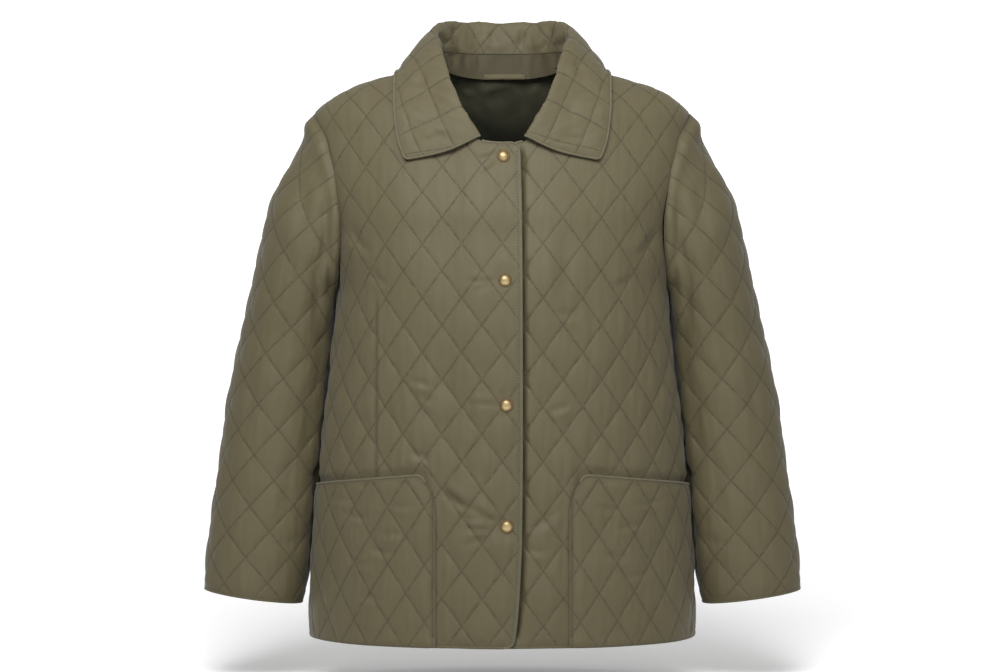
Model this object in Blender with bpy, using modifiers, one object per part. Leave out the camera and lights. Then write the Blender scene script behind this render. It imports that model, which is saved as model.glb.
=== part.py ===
"""Quilted jacket: a women's collared jacket in diamond-quilted cloth, worn form, open inside.

The tables hold millimetres and the meshes metres. +X is the wearer's left, -Y the front and +Z up.
The origin is level with the highest point of the shoulders, midway between them, on the side line.
"""

import math

import bpy
import numpy as np
from mathutils import Vector
from mathutils.bvhtree import BVHTree

MM = 0.001

# Cloth
WALL = 1.6            # wall under a stitch line
PILLOW = 2.4          # a diamond's middle above its stitch lines
LINING_WALL = 1.0
LINING_GAP = 2.2      # the lining's outer face from the back's inner face
LINING_INSET = 6.0    # the lining's side edges from the side seams
STAND_WALL = 1.6
STAND_FOOT = 1.8      # the stand's lower edge above the neck edge of the panels
SEAM_GAP = 0.3        # between two pieces at a seam
SEAM_TAPER = 16.0     # the quilting flattens over this distance from an edge

# Quilting: a diamond's width and height, and the place of one crossing on the centre line
BODY_DIAMOND = (46.3, 61.4, -219.0)
SLEEVE_DIAMOND = (53.0, 60.0, -256.0)
POCKET_DIAMOND = (44.0, 65.0, -553.0)
COLLAR_DIAMOND = (44.0, 56.0, 0.0)

# Body sections at each level: half width, depth to the front and back, and how square they are
TORSO_COLUMNS = ("level", "half_width", "front", "back", "squareness")
TORSO = (
    (12, 40, 30, 44, 2.0),
    (0, 74, 40, 52, 2.0),
    (-12, 112, 50, 60, 2.0),
    (-22, 151, 58, 66, 2.0),
    (-32, 180, 66, 72, 2.0),
    (-45, 205, 77, 79, 2.0),
    (-61, 223, 90, 87, 2.0),
    (-84, 229, 99, 97, 2.0),
    (-108, 229, 105, 106, 2.1),
    (-134, 225, 112, 114, 2.15),
    (-158, 218, 119, 120, 2.2),
    (-184, 209, 127, 124, 2.2),
    (-212, 203, 131, 125, 2.2),
    (-240, 199, 136, 124, 2.2),
    (-268, 195, 139, 122, 2.2),
    (-300, 198, 140, 121, 2.2),
    (-357, 203, 141, 120, 2.2),
    (-402, 208, 142, 121, 2.2),
    (-468, 214, 143, 123, 2.2),
    (-502, 216, 144, 124, 2.2),
    (-557, 219, 145, 126, 2.2),
    (-607, 222, 146, 127, 2.2),
    (-681, 223, 147, 128, 2.2),
    (-705, 223, 147, 128, 2.2),
)
HEM = -681.0
LEVEL_STEP = 3.0      # spacing of the levels that the body and sleeves are read at

# Neck: the high point of the shoulder lies at half this width
NECK_HALF_WIDTH = 74.0
FRONT_NECK_DROP = 103.0
FRONT_NECK_SQUARENESS = 2.4
BACK_NECK_DROP = 12.0

# Armhole: an ellipse as seen from the side
ARMHOLE_CENTRE = -164.5
ARMHOLE_HALF_HEIGHT = 103.5
ARMHOLE_HALF_DEPTH = 62.0

# Sleeve rings, from the armhole to the cuff: their outer and inner points, half depth and middle
SLEEVE_COLUMNS = ("outer_x", "outer_z", "inner_x", "inner_z", "half_depth", "middle_y")
SLEEVE = (
    (223, -61, 195, -268, 62, 0),
    (239, -83, 195, -274, 65, 3),
    (257, -116, 195, -280, 68, 7),
    (275, -162, 195, -287, 70, 12),
    (289, -219, 195, -296, 71, 18),
    (302, -277, 196, -312, 71, 24),
    (313, -325, 198, -345, 69, 28),
    (328, -395, 203, -408, 66, 28),
    (339, -480, 213, -490, 61, 22),
    (348, -560, 223, -566, 56, 13),
    (352, -626, 239, -641, 51, 4),
)
SLEEVE_ROOM = 5.4      # sleeve to body, from stitch line to stitch line
SLEEVE_HEAD_GAP = 1.4  # keeps the two facetted edges of the armhole seam apart
UNDERARM_GAP = 2.2     # more of it under the arm, where the sleeve and body lie side by side
SLEEVE_SPREAD = 0.38   # how fast it reaches that below the armhole

# Front closure: the right front lies on the left and its edge runs this far past the centre
FRONT_EDGE_COLUMNS = ("level", "past_centre")
FRONT_EDGE = (
    (-90, 20.5),
    (-127, 21.0),
    (-159, 22.0),
    (-303, 23.0),
    (-452, 23.3),
    (-512, 22.8),
    (-573, 21.8),
    (-621, 19.5),
    (-657, 16.5),
    (-690, 11.0),
)
UNDERLAP = 20.0           # the left front's plain edge, past the centre
UNDERLAP_PLAIN = (20.0, 44.0)     # the left front's quilting starts between these distances
FRONT_LIFT = 3.5          # the right front over the left
FRONT_LIFT_FROM = 62.0    # it rises between these distances from the centre
FRONT_LIFT_TO = 24.0
FRONT_CORNER = 13.0       # rounding of its top corner
FRONT_FOOT_CORNER = 8.0

# Patch pockets, on the pattern: distance from the centre, and level
POCKET_INNER = 77.0
POCKET_TOP_INNER = (92.0, -486.0)
POCKET_TOP_OUTER = (225.0, -500.0)
POCKET_SLANT = (82.0, -506.0)
POCKET_CORNER = 7.0
POCKET_LIFT = 5.0
UNDER_POCKET = 0.3        # share of the quilting's height left beneath a pocket
POCKET_FADE = (-14.0, -6.0)   # outside the pocket's outline, where that share is reached

# Collar sections, from the centre back to the front end. Each row places the seam of the stand,
# the fold, the middle of the fall and its edge, each as x, y and z.
COLLAR_COLUMNS = ("seam", "fold", "fall", "edge")
COLLAR = (
    ((0, 64, 16), (0, 72, 55), (0, 87, 24), (0, 89, -15)),
    ((38, 59, 16), (42, 66, 55), (56, 80, 24), (63, 83, -18)),
    ((66, 35, 15), (71, 40, 52), (93, 49, 21), (108, 52, -20)),
    ((75, 0, 10), (80, 5, 38), (104, 4, 18), (124, 0, -12)),
    ((72, -52, -13), (72, -50, 6), (96, -54, -12), (127, -68, -47)),
    ((58, -91.5, -61), (55, -93, -47), (82, -92, -68), (122, -92, -97)),
    ((25.5, -104, -93.5), (27, -109, -90.5), (62, -110, -110), (111, -102, -124)),
)
NECK_BACK_X = (0, 37, 64, 74)                 # where each of those sections meets the neck seam
NECK_FRONT_LEVEL = (0, -25, -72, -99.7)
COLLAR_CORNER = 5.0
FOLD_GAP = 1.0            # more between the fall and the stand, where the fold tightens at the front
COLLAR_ROOM = 6.0         # collar over the body, from its face to the body's stitch lines

# Bindings
EDGE_BEAD = 2.0
HEM_BEAD = 2.2
HEM_BEAD_AT_POCKET = 3.5
SMALL_BEAD = 1.8
BEAD_GAP = 0.6
HEM_STEPS = 18            # lengths of binding along each front's hem

# Snap fasteners
SNAP_PLACES = ((1.0, -120.0), (3.0, -262.7), (4.5, -404.5), (5.0, -542.0))
SNAP_RADIUS = 7.5
SNAP_PROFILE = ((7.5, 0.0), (7.5, 0.9), (6.9, 1.5), (6.0, 1.5), (5.0, 2.5), (2.6, 3.3), (0.0, 3.6))
SNAP_PRESS = 22.0
SNAP_SIDES = 20

# Hanger loop, inside the back neck
LOOP_FROM = -23.6
LOOP_TO = 28.5
LOOP_WIDTH = 6.0
LOOP_WALL = 1.0

COLOURS = {
    "Quilted shell": ((0.160, 0.135, 0.080), 0.72, 0.0),
    "Binding": ((0.125, 0.105, 0.062), 0.7, 0.0),
    "Lining": ((0.060, 0.052, 0.030), 0.6, 0.0),
    "Brass": ((0.50, 0.36, 0.14), 0.35, 1.0),
}


# ---------------------------------------------------------------- curves and smooth steps

def smooth_curve(xs, ys):
    """A smooth curve through the points, without overshoot, as a function of x."""
    order = np.argsort(xs)
    x = np.asarray(xs, float)[order]
    y = np.asarray(ys, float)[order]
    slopes = np.diff(y, axis=0) / np.diff(x).reshape((-1,) + (1,) * (y.ndim - 1))
    inner = np.where(slopes[:-1] * slopes[1:] > 0, 0.5 * (slopes[:-1] + slopes[1:]), 0.0)
    limit = 3.0 * np.minimum(np.abs(slopes[:-1]), np.abs(slopes[1:]))
    inner = np.clip(inner, -limit, limit)
    tangents = np.concatenate([slopes[:1], inner, slopes[-1:]])

    def value(at):
        at = np.asarray(at, float)
        i = np.clip(np.searchsorted(x, at) - 1, 0, len(x) - 2)
        width = x[i + 1] - x[i]
        t = np.clip((at - x[i]) / width, -0.5, 1.5)
        if y.ndim > 1:
            width = width[..., None]
            t = t[..., None]
        rise = t * t * (3 - 2 * t)
        return (y[i] * (1 - rise) + y[i + 1] * rise
                + width * tangents[i] * t * (1 - t) ** 2
                - width * tangents[i + 1] * t * t * (1 - t))

    return value


def ramp(value, start, end):
    """0 at start and 1 at end, smooth at both."""
    t = np.clip((np.asarray(value, float) - start) / (end - start), 0.0, 1.0)
    return t * t * (3 - 2 * t)


def soft_min(a, b, radius):
    """The smaller of two distances, rounding the corner between them."""
    h = np.clip(0.5 + 0.5 * (b - a) / radius, 0.0, 1.0)
    return b * (1 - h) + a * h - radius * h * (1 - h)


def column(table, columns, name):
    return [row[columns.index(name)] for row in table]


# ---------------------------------------------------------------- the body's form

torso_levels = column(TORSO, TORSO_COLUMNS, "level")
half_width_at = smooth_curve(torso_levels, column(TORSO, TORSO_COLUMNS, "half_width"))
front_at = smooth_curve(torso_levels, column(TORSO, TORSO_COLUMNS, "front"))
back_at = smooth_curve(torso_levels, column(TORSO, TORSO_COLUMNS, "back"))
squareness_at = smooth_curve(torso_levels, column(TORSO, TORSO_COLUMNS, "squareness"))
front_edge_at = smooth_curve(column(FRONT_EDGE, FRONT_EDGE_COLUMNS, "level"),
                             column(FRONT_EDGE, FRONT_EDGE_COLUMNS, "past_centre"))


def torso_point(turn, level):
    """The body's surface: turn is 0 at the centre front, 90 at the side and 180 at the back."""
    power = 2.0 / squareness_at(level)
    angle = np.radians(turn)
    across = np.sign(np.sin(angle)) * np.abs(np.sin(angle)) ** power
    forward = np.sign(np.cos(angle)) * np.abs(np.cos(angle)) ** power
    depth = np.where(forward > 0, front_at(level), back_at(level))
    x = half_width_at(level) * across
    return np.stack([x, -depth * forward, level + 0.0 * x], axis=-1)


def torso_x(y, level):
    """Half the body's width at a depth and level."""
    depth = np.where(y < 0, front_at(level), back_at(level))
    power = squareness_at(level)
    share = np.clip(np.abs(y) / depth, 0.0, 0.999)
    return half_width_at(level) * (1 - share ** power) ** (1 / power)


def body_distance(points):
    """Level distance outside the body's surface, with the direction that leaves it."""
    x, y, level = points[..., 0], points[..., 1], points[..., 2]
    level = np.clip(level, HEM - 20, 8)
    depth = np.where(y < 0, front_at(level), back_at(level))
    power = squareness_at(level)
    u = np.abs(x) / half_width_at(level)
    v = np.abs(y) / depth
    reach = np.maximum(u ** power + v ** power, 1e-6) ** (1 / power)
    slope_x = np.sign(x) * u ** (power - 1) / half_width_at(level)
    slope_y = np.sign(y) * v ** (power - 1) / depth
    steep = np.maximum(np.hypot(slope_x, slope_y), 1e-9)
    out = np.stack([slope_x / steep, slope_y / steep, np.zeros_like(steep)], axis=-1)
    scale = steep / np.maximum(reach, 1e-6) ** (power - 1)
    return (reach - 1) / scale, out


def keep_clear(points, room):
    """Moves points level outwards until they are this far outside the body."""
    blend = 3.0
    distance, out = body_distance(points)
    short = room - distance
    push = np.where(short > -8 * blend, 0.5 * (short + np.sqrt(short * short + blend * blend)), 0.0)
    points = points + out * push[..., None]
    distance, out = body_distance(points)
    return points + out * np.maximum(room - distance, 0.0)[..., None]


# ---------------------------------------------------------------- surfaces read by their pattern

class Drape:
    """A curved surface that a flat pattern lies on: distance round it, and distance down it."""

    def __init__(self, downs, turns, points, zero_turn, extra=None):
        self.downs = np.asarray(downs, float)
        self.turns = np.asarray(turns, float)
        self.points = points
        steps = np.linalg.norm(np.diff(points, axis=1), axis=2)
        run = np.concatenate([np.zeros((len(points), 1)), np.cumsum(steps, axis=1)], axis=1)
        zero = np.array([np.interp(zero_turn, self.turns, row) for row in run])
        self.run = run - zero[:, None]
        along = np.gradient(points, axis=1)
        down = np.gradient(points, axis=0)
        normals = np.cross(down, along)
        length = np.linalg.norm(normals, axis=2, keepdims=True)
        self.normals = normals / np.maximum(length, 1e-9)
        self.extra = extra or {}

    def rows(self, down):
        place = np.interp(down, self.downs, np.arange(len(self.downs)))
        low = np.clip(place.astype(int), 0, len(self.downs) - 2)
        return low, place - low

    def around(self, turn, down):
        """The pattern distance round to a turn, at a distance down."""
        low, share = self.rows(down)
        side = np.array([np.interp(turn, self.turns, row) for row in self.run])
        return side[low] * (1 - share) + side[low + 1] * share

    def read(self, around, down):
        """Points, normals and the extra fields at places on the pattern."""
        low, share = self.rows(down)
        run = self.run[low] * (1 - share[:, None]) + self.run[low + 1] * share[:, None]
        col = np.clip((run < around[:, None]).sum(axis=1) - 1, 0, len(self.turns) - 2)
        each = np.arange(len(around))
        span = np.maximum(run[each, col + 1] - run[each, col], 1e-9)
        part = np.clip((around - run[each, col]) / span, 0.0, 1.0)

        def blend(grid):
            extra_axes = (1,) * (grid.ndim - 2)
            s = share.reshape((-1,) + extra_axes)
            p = part.reshape((-1,) + extra_axes)
            top = grid[low, col] * (1 - p) + grid[low, col + 1] * p
            foot = grid[low + 1, col] * (1 - p) + grid[low + 1, col + 1] * p
            return top * (1 - s) + foot * s

        normals = blend(self.normals)
        normals = normals / np.maximum(np.linalg.norm(normals, axis=1, keepdims=True), 1e-9)
        fields = {name: blend(grid) for name, grid in self.extra.items()}
        return blend(self.points), normals, fields


def body_drape(centre_turn):
    """The front (0) or back (180) of the body; its pattern runs down the middle of the panel."""
    levels = np.arange(TORSO[-1][0], TORSO[0][0] + 1, LEVEL_STEP, dtype=float)
    reach = np.linspace(0.0, 112.0, 113)
    turns = reach if centre_turn == 0 else 180.0 - reach
    points = torso_point(turns[None, :], levels[:, None])
    middle = points[:, 50]
    length = np.concatenate([[0.0], np.cumsum(np.linalg.norm(np.diff(middle, axis=0), axis=1))])
    downs = length - np.interp(BODY_DIAMOND[2], levels, length) + BODY_DIAMOND[2]
    drape = Drape(downs, reach, points, 0.0)
    facing = np.sign((drape.normals * (points - [0, 0, 1] * points)).sum(axis=2))
    drape.normals = drape.normals * np.sign(facing.mean())
    return drape


def sleeve_drape():
    """The left sleeve: turn is 0 at the outermost line, 90 at the front and 180 inside the arm."""
    ring = np.arange(len(SLEEVE), dtype=float)
    columns = {name: smooth_curve(ring, column(SLEEVE, SLEEVE_COLUMNS, name))
               for name in SLEEVE_COLUMNS}
    turns = np.linspace(-200.0, 200.0, 161)
    rings = np.linspace(-0.45, ring[-1] + 0.3, 240)
    at = {name: curve(rings)[None, :] for name, curve in columns.items()}
    angle = np.radians(turns)[:, None]
    cos, sin = np.cos(angle), np.sin(angle)
    z = 0.5 * (at["outer_z"] + at["inner_z"]) + 0.5 * (at["outer_z"] - at["inner_z"]) * cos
    y = at["middle_y"] - at["half_depth"] * sin
    x = 0.5 * (at["outer_x"] + at["inner_x"]) + 0.5 * (at["outer_x"] - at["inner_x"]) * cos
    on_body = torso_x(y, z)
    set_in = ramp(rings, 0.0, 3.2)[None, :]
    x = on_body * (1 - set_in) + x * set_in
    points = np.stack([x, y, z], axis=-1)
    length = np.concatenate([np.zeros((len(turns), 1)),
                             np.cumsum(np.linalg.norm(np.diff(points, axis=1), axis=2), axis=1)], axis=1)
    start = np.array([np.interp(0.0, rings, row) for row in length])[:, None]
    end = np.array([np.interp(ring[-1], rings, row) for row in length])[:, None]
    levels = np.arange(-665.0, -36.0, LEVEL_STEP)
    grid = np.zeros((len(levels), len(turns), 3))
    reach = np.zeros((len(levels), len(turns)))
    left = np.zeros((len(levels), len(turns)))
    for i in range(len(turns)):
        down = -z[i]
        for axis in range(3):
            grid[:, i, axis] = np.interp(-levels, down, points[i, :, axis])
        reach[:, i] = np.interp(-levels, down, (length - start)[i])
        left[:, i] = np.interp(-levels, down, (end - length)[i])
    room = np.minimum(SLEEVE_ROOM, SLEEVE_SPREAD * np.maximum(reach, 0.0))
    pocket = ramp(grid[..., 1], 14.0, 2.0) * ramp(grid[..., 2], -474.0, -490.0)
    cleared = keep_clear(grid, room + POCKET_LIFT * pocket)
    weight = ramp(reach, 0.0, 12.0)[..., None]
    grid = grid * (1 - weight) + cleared * weight
    drape = Drape(levels, turns, grid, 0.0, {"reach": reach, "left": left})
    middle = grid.mean(axis=1, keepdims=True)
    facing = np.sign((drape.normals * (grid - middle)).sum(axis=2))
    drape.normals = drape.normals * np.sign(facing[:60].mean())
    return drape


# ---------------------------------------------------------------- cutting and making the cloth

def diamond_lattice(diamond, box, parts=1):
    """Triangles along the stitch lines over a box of the pattern, with parts to each half diamond."""
    width, height, start = diamond
    left, right, low, high = box
    i0, i1 = math.floor(left / (width / 2)), math.ceil(right / (width / 2))
    j0, j1 = math.floor((low - start) / (height / 2)), math.ceil((high - start) / (height / 2))
    columns = (i1 - i0) * parts + 1
    rows = (j1 - j0) * parts + 1
    places = [((i0 + i / parts) * width / 2, start + (j0 + j / parts) * height / 2)
              for j in range(rows) for i in range(columns)]
    faces = []
    for j in range(rows - 1):
        for i in range(columns - 1):
            a = j * columns + i
            b, c, d = a + 1, a + 1 + columns, a + columns
            if (i // parts + i0 + j // parts + j0) % 2 == 0:
                faces += [(a, b, c), (a, c, d)]
            else:
                faces += [(a, b, d), (b, c, d)]
    return np.array(places, float), faces


def pillow(diamond, places):
    """Height of the quilting: 1 at a diamond's middle and 0 along its stitches."""
    width, height, start = diamond
    i = places[:, 0] / (width / 2)
    j = (places[:, 1] - start) / (height / 2)
    p, q = (i + j) / 2, (i - j) / 2
    return 1 - 2 * np.maximum(np.abs(p - np.floor(p) - 0.5), np.abs(q - np.floor(q) - 0.5))


def cut(places, faces, locked, inside, snap):
    """Cuts the flat cloth where inside() falls below zero, moving near points onto the line."""
    value = inside(places)
    near = (np.abs(value) < snap) & ~locked
    if near.any():
        here = places[near]
        step = 0.05
        for _ in range(4):
            g = inside(here)
            gu = (inside(here + [step, 0]) - inside(here - [step, 0])) / (2 * step)
            gv = (inside(here + [0, step]) - inside(here - [0, step])) / (2 * step)
            size = np.maximum(gu * gu + gv * gv, 0.05)
            here = here - np.stack([g * gu / size, g * gv / size], axis=1)
        places[near] = here
        value = inside(places)
        value[near & (np.abs(value) < 0.02)] = 0.0
    locked = locked | (value == 0.0)
    crossings = {}
    kept, dropped, out = [], [], []
    for face in faces:
        if all(value[v] <= 0 for v in face):
            continue
        if all(value[v] >= 0 for v in face):
            out.append(face)
            continue
        ring = []
        for k, v in enumerate(face):
            w = face[(k + 1) % len(face)]
            if value[v] >= 0:
                ring.append(v)
            if value[v] * value[w] < 0:
                edge = (min(v, w), max(v, w))
                if edge not in crossings:
                    crossings[edge] = len(places) + len(kept)
                    kept.append(v if value[v] > 0 else w)
                    dropped.append(w if value[v] > 0 else v)
                ring.append(crossings[edge])
        out += [(ring[0], ring[k], ring[k + 1]) for k in range(1, len(ring) - 1)]
    if kept:
        keep, drop = places[kept].copy(), places[dropped].copy()
        for _ in range(24):
            middle = (keep + drop) / 2
            ok = inside(middle) >= 0
            keep[ok] = middle[ok]
            drop[~ok] = middle[~ok]
        places = np.concatenate([places, keep])
        locked = np.concatenate([locked, np.ones(len(keep), bool)])
    return places, out, locked


def cut_piece(diamond, box, lines, snap=1.6, parts=1):
    """The piece of a pattern inside every line, each a function of places on the pattern."""
    places, faces = diamond_lattice(diamond, box, parts)
    locked = np.zeros(len(places), bool)
    for line in lines:
        places, faces, locked = cut(places, faces, locked, line, snap)
    used = sorted({v for face in faces for v in face})
    index = {v: k for k, v in enumerate(used)}
    places = places[used]
    faces = [tuple(index[v] for v in face) for face in faces]
    inset = np.min([line(places) for line in lines], axis=0)
    return places, faces, np.maximum(inset, 0.0)


def wall_object(name, outer, inner, faces, material, mirror=False):
    """A cloth wall between two sets of points, with a rim along its open edges."""
    if mirror:
        outer, inner = outer * [-1, 1, 1], inner * [-1, 1, 1]
        faces = [face[::-1] for face in faces]
    count = len(outer)
    edges = [(v, face[(k + 1) % len(face)]) for face in faces for k, v in enumerate(face)]
    paired = set(edges)
    rim = [(a, b) for a, b in edges if (b, a) not in paired]
    all_faces = list(faces)
    all_faces += [tuple(v + count for v in face[::-1]) for face in faces]
    for a, b in rim:
        all_faces += [(b, a, a + count), (b, a + count, b + count)]
    mesh = bpy.data.meshes.new(name)
    points = np.concatenate([outer, inner]) * MM
    mesh.from_pydata([tuple(p) for p in points], [], all_faces)
    mesh.update()
    return add_object(name, mesh, material)


def facing_out(points, normals, faces):
    """The faces turned so that they face the way their normals do."""
    a, b, c = (points[[face[k] for face in faces]] for k in range(3))
    turned = (np.cross(b - a, c - a) * normals[[face[0] for face in faces]]).sum(axis=1)
    if turned.sum() < 0:
        return [face[::-1] for face in faces]
    return faces


def add_object(name, mesh, kind):
    """Adds an object with a material of its own to the jacket's collection."""
    colour, rough, metallic = COLOURS[kind]
    material = bpy.data.materials.new(name + " " + kind)
    material.use_nodes = True
    shader = material.node_tree.nodes["Principled BSDF"]
    shader.inputs["Base Color"].default_value = (*colour, 1.0)
    shader.inputs["Roughness"].default_value = rough
    shader.inputs["Metallic"].default_value = metallic
    material.diffuse_color = (*colour, 1.0)
    mesh.materials.append(material)
    thing = bpy.data.objects.new(name, mesh)
    bpy.data.collections["Quilted jacket"].objects.link(thing)
    return thing


# ---------------------------------------------------------------- seam lines

def body_points(drape, places):
    """Points and normals of the body; a place's first number is signed, plus to the left."""
    points, normals, fields = drape.read(np.abs(places[:, 0]), places[:, 1])
    sign = np.stack([np.where(places[:, 0] < 0, -1.0, 1.0), np.ones(len(places)),
                     np.ones(len(places))], axis=1)
    return points * sign, normals * sign


def side_seam(drape):
    """Inside the side and shoulder seams, which both lie on the line halfway round."""
    return lambda p: drape.around(90.0, p[:, 1]) - np.abs(p[:, 0]) - SEAM_GAP / 2


def armhole(drape):
    def inside(p):
        points, _ = body_points(drape, p)
        up = (points[:, 2] - ARMHOLE_CENTRE) / ARMHOLE_HALF_HEIGHT
        deep = points[:, 1] / ARMHOLE_HALF_DEPTH
        reach = np.maximum(np.hypot(up, deep), 1e-6)
        slope = np.hypot(up / ARMHOLE_HALF_HEIGHT, deep / ARMHOLE_HALF_DEPTH) / reach
        side = np.where(np.abs(points[:, 0]) < 100, 400.0, 0.0)
        return (reach - 1) / slope - SEAM_GAP / 2 + side
    return inside


def front_neck_level(x):
    """The front neck edge's level at a distance from the centre."""
    power = FRONT_NECK_SQUARENESS
    return -FRONT_NECK_DROP * np.maximum(1 - (np.abs(x) / NECK_HALF_WIDTH) ** power, 0.0) ** (1 / power)


def front_neck(drape, gap):
    def inside(p):
        points, _ = body_points(drape, p)
        power = FRONT_NECK_SQUARENESS
        across = np.abs(points[:, 0]) / NECK_HALF_WIDTH
        down = np.abs(points[:, 2]) / FRONT_NECK_DROP
        reach = np.maximum(across ** power + down ** power, 1e-6) ** (1 / power)
        slope = np.hypot(across ** (power - 1) / NECK_HALF_WIDTH, down ** (power - 1) / FRONT_NECK_DROP)
        bound = gap * ramp(np.abs(points[:, 0]), 30.0, 24.0)
        return (reach - 1) * reach ** (power - 1) / np.maximum(slope, 1e-6) - SEAM_GAP / 2 - bound
    return inside


def back_neck(drape, gap):
    def inside(p):
        points, _ = body_points(drape, p)
        curve = 1 - np.minimum(np.abs(points[:, 0]) / NECK_HALF_WIDTH, 1.0) ** 2
        return -BACK_NECK_DROP * curve - points[:, 2] - gap
    return inside


def over_pocket(around):
    """1 where a pocket lies on the front, 0 towards the centre, at distances from the centre."""
    return ramp(np.abs(around), POCKET_INNER - 7, POCKET_INNER - 1)


def hem_bead(around):
    """The hem binding's radius on the fronts: it is thicker where it also holds a pocket."""
    return HEM_BEAD + (HEM_BEAD_AT_POCKET - HEM_BEAD) * over_pocket(around)


def hem_line(drape, with_pocket=False, gap=BEAD_GAP):
    def inside(p):
        points, _ = body_points(drape, p)
        radius = hem_bead(np.abs(p[:, 0]) + BODY_DIAMOND[0] / 2) if with_pocket else HEM_BEAD
        return points[:, 2] - (HEM + 2 * radius + gap)
    return inside


def pocket_top(side, drape):
    """Inside the pocket's top edge and its slanted corner."""
    x0, z0 = POCKET_TOP_INNER
    x1, z1 = POCKET_TOP_OUTER
    xs, zs = POCKET_SLANT

    def inside(p):
        points, _ = body_points(drape, p)
        around, level = side * p[:, 0], points[:, 2]
        top = z0 + (z1 - z0) * (around - x0) / (x1 - x0) - level
        run = math.hypot(x0 - xs, z0 - zs)
        slant = ((around - xs) * (z0 - zs) - (level - zs) * (x0 - xs)) / run
        return soft_min(top, slant, POCKET_CORNER)
    return inside


def pocket_outline(side, drape):
    """Inside the pocket's cloth, which stops short of the binding along its top."""
    top = pocket_top(side, drape)
    bead = 2 * SMALL_BEAD + BEAD_GAP
    return lambda p: soft_min(top(p) - bead, side * p[:, 0] - POCKET_INNER, POCKET_CORNER)


def edge_places(inside, starts, ends, inset):
    """Places between pairs of starts and ends that lie this far inside a line."""
    keep, drop = np.array(starts, float), np.array(ends, float)
    for _ in range(30):
        middle = (keep + drop) / 2
        ok = inside(middle) >= inset
        keep[ok] = middle[ok]
        drop[~ok] = middle[~ok]
    return keep


def front_lift(side, places):
    """How far the right front rises over the left near the centre."""
    if side > 0:
        return np.zeros(len(places))
    return FRONT_LIFT * ramp(side * places[:, 0], FRONT_LIFT_FROM, FRONT_LIFT_TO)


def quilt_height(places, diamond, inset):
    return PILLOW * pillow(diamond, places) * ramp(inset, 0.0, SEAM_TAPER)


# ---------------------------------------------------------------- the panels

def make_front(name, side, drape):
    """A front panel. The right one, side -1, runs past the centre and lies on the left one."""
    bead = 2 * EDGE_BEAD + BEAD_GAP

    def edge(p):
        points, _ = body_points(drape, p)
        if side > 0:
            return side * p[:, 0] + UNDERLAP
        return side * p[:, 0] + front_edge_at(points[:, 2]) - bead

    neck = front_neck(drape, bead)
    hem = hem_line(drape, with_pocket=True)

    def bound_edge(p):
        top = soft_min(edge(p), neck(p), FRONT_CORNER if side < 0 else 0.5)
        return soft_min(top, hem(p), FRONT_FOOT_CORNER if side < 0 else 0.5)

    box = (-345, 25, HEM - 5, 60) if side < 0 else (-25, 345, HEM - 5, 60)
    lines = [armhole(drape), bound_edge, side_seam(drape)]
    places, faces, inset = cut_piece(BODY_DIAMOND, box, lines)
    points, normals = body_points(drape, places)
    points = points + normals * front_lift(side, places)[:, None]
    height = quilt_height(places, BODY_DIAMOND, inset)
    height *= 1 - ramp(pocket_outline(side, drape)(places), *POCKET_FADE) * (1 - UNDER_POCKET)
    if side > 0:
        height *= ramp(places[:, 0], *UNDERLAP_PLAIN)
    for snap_x, snap_z in SNAP_PLACES:
        reach = np.hypot(points[:, 0] - snap_x, points[:, 2] - snap_z)
        height *= ramp(reach, SNAP_RADIUS, SNAP_PRESS)
    faces = facing_out(points, normals, faces)
    outer = points + normals * height[:, None]
    return wall_object(name, outer, points - normals * WALL, faces, "Quilted shell")


def make_back(name, drape):
    lines = [armhole(drape), back_neck(drape, SEAM_GAP), hem_line(drape), side_seam(drape)]
    places, faces, inset = cut_piece(BODY_DIAMOND, (-345, 345, HEM - 5, 60), lines)
    points, normals = body_points(drape, places)
    faces = facing_out(points, normals, faces)
    outer = points + normals * quilt_height(places, BODY_DIAMOND, inset)[:, None]
    return wall_object(name, outer, points - normals * WALL, faces, "Quilted shell")


def make_lining(name, drape):
    """The back lining, plain cloth just inside the back."""
    lines = [lambda p: drape.around(90.0, p[:, 1]) - np.abs(p[:, 0]) - LINING_INSET,
             lambda p: armhole(drape)(p) - 3.0, back_neck(drape, 1.0), hem_line(drape, gap=10.0)]
    grid = (1.6 * BODY_DIAMOND[0], 2 * BODY_DIAMOND[1], BODY_DIAMOND[2])
    places, faces, _ = cut_piece(grid, (-345, 345, HEM - 5, 60), lines, 9.0)
    points, normals = body_points(drape, places)
    faces = facing_out(points, normals, faces)
    depth = WALL + LINING_GAP
    return wall_object(name, points - normals * depth, points - normals * (depth + LINING_WALL),
                       faces, "Lining")


def make_pocket(name, side, drape):
    lines = [pocket_outline(side, drape), hem_line(drape, with_pocket=True), side_seam(drape)]
    box = (-345, -20, HEM - 5, -440) if side < 0 else (20, 345, HEM - 5, -440)
    places, faces, inset = cut_piece(POCKET_DIAMOND, box, lines)
    points, normals = body_points(drape, places)
    points = points + normals * POCKET_LIFT
    faces = facing_out(points, normals, faces)
    outer = points + normals * quilt_height(places, POCKET_DIAMOND, inset)[:, None]
    return wall_object(name, outer, points - normals * WALL, faces, "Quilted shell")


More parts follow.
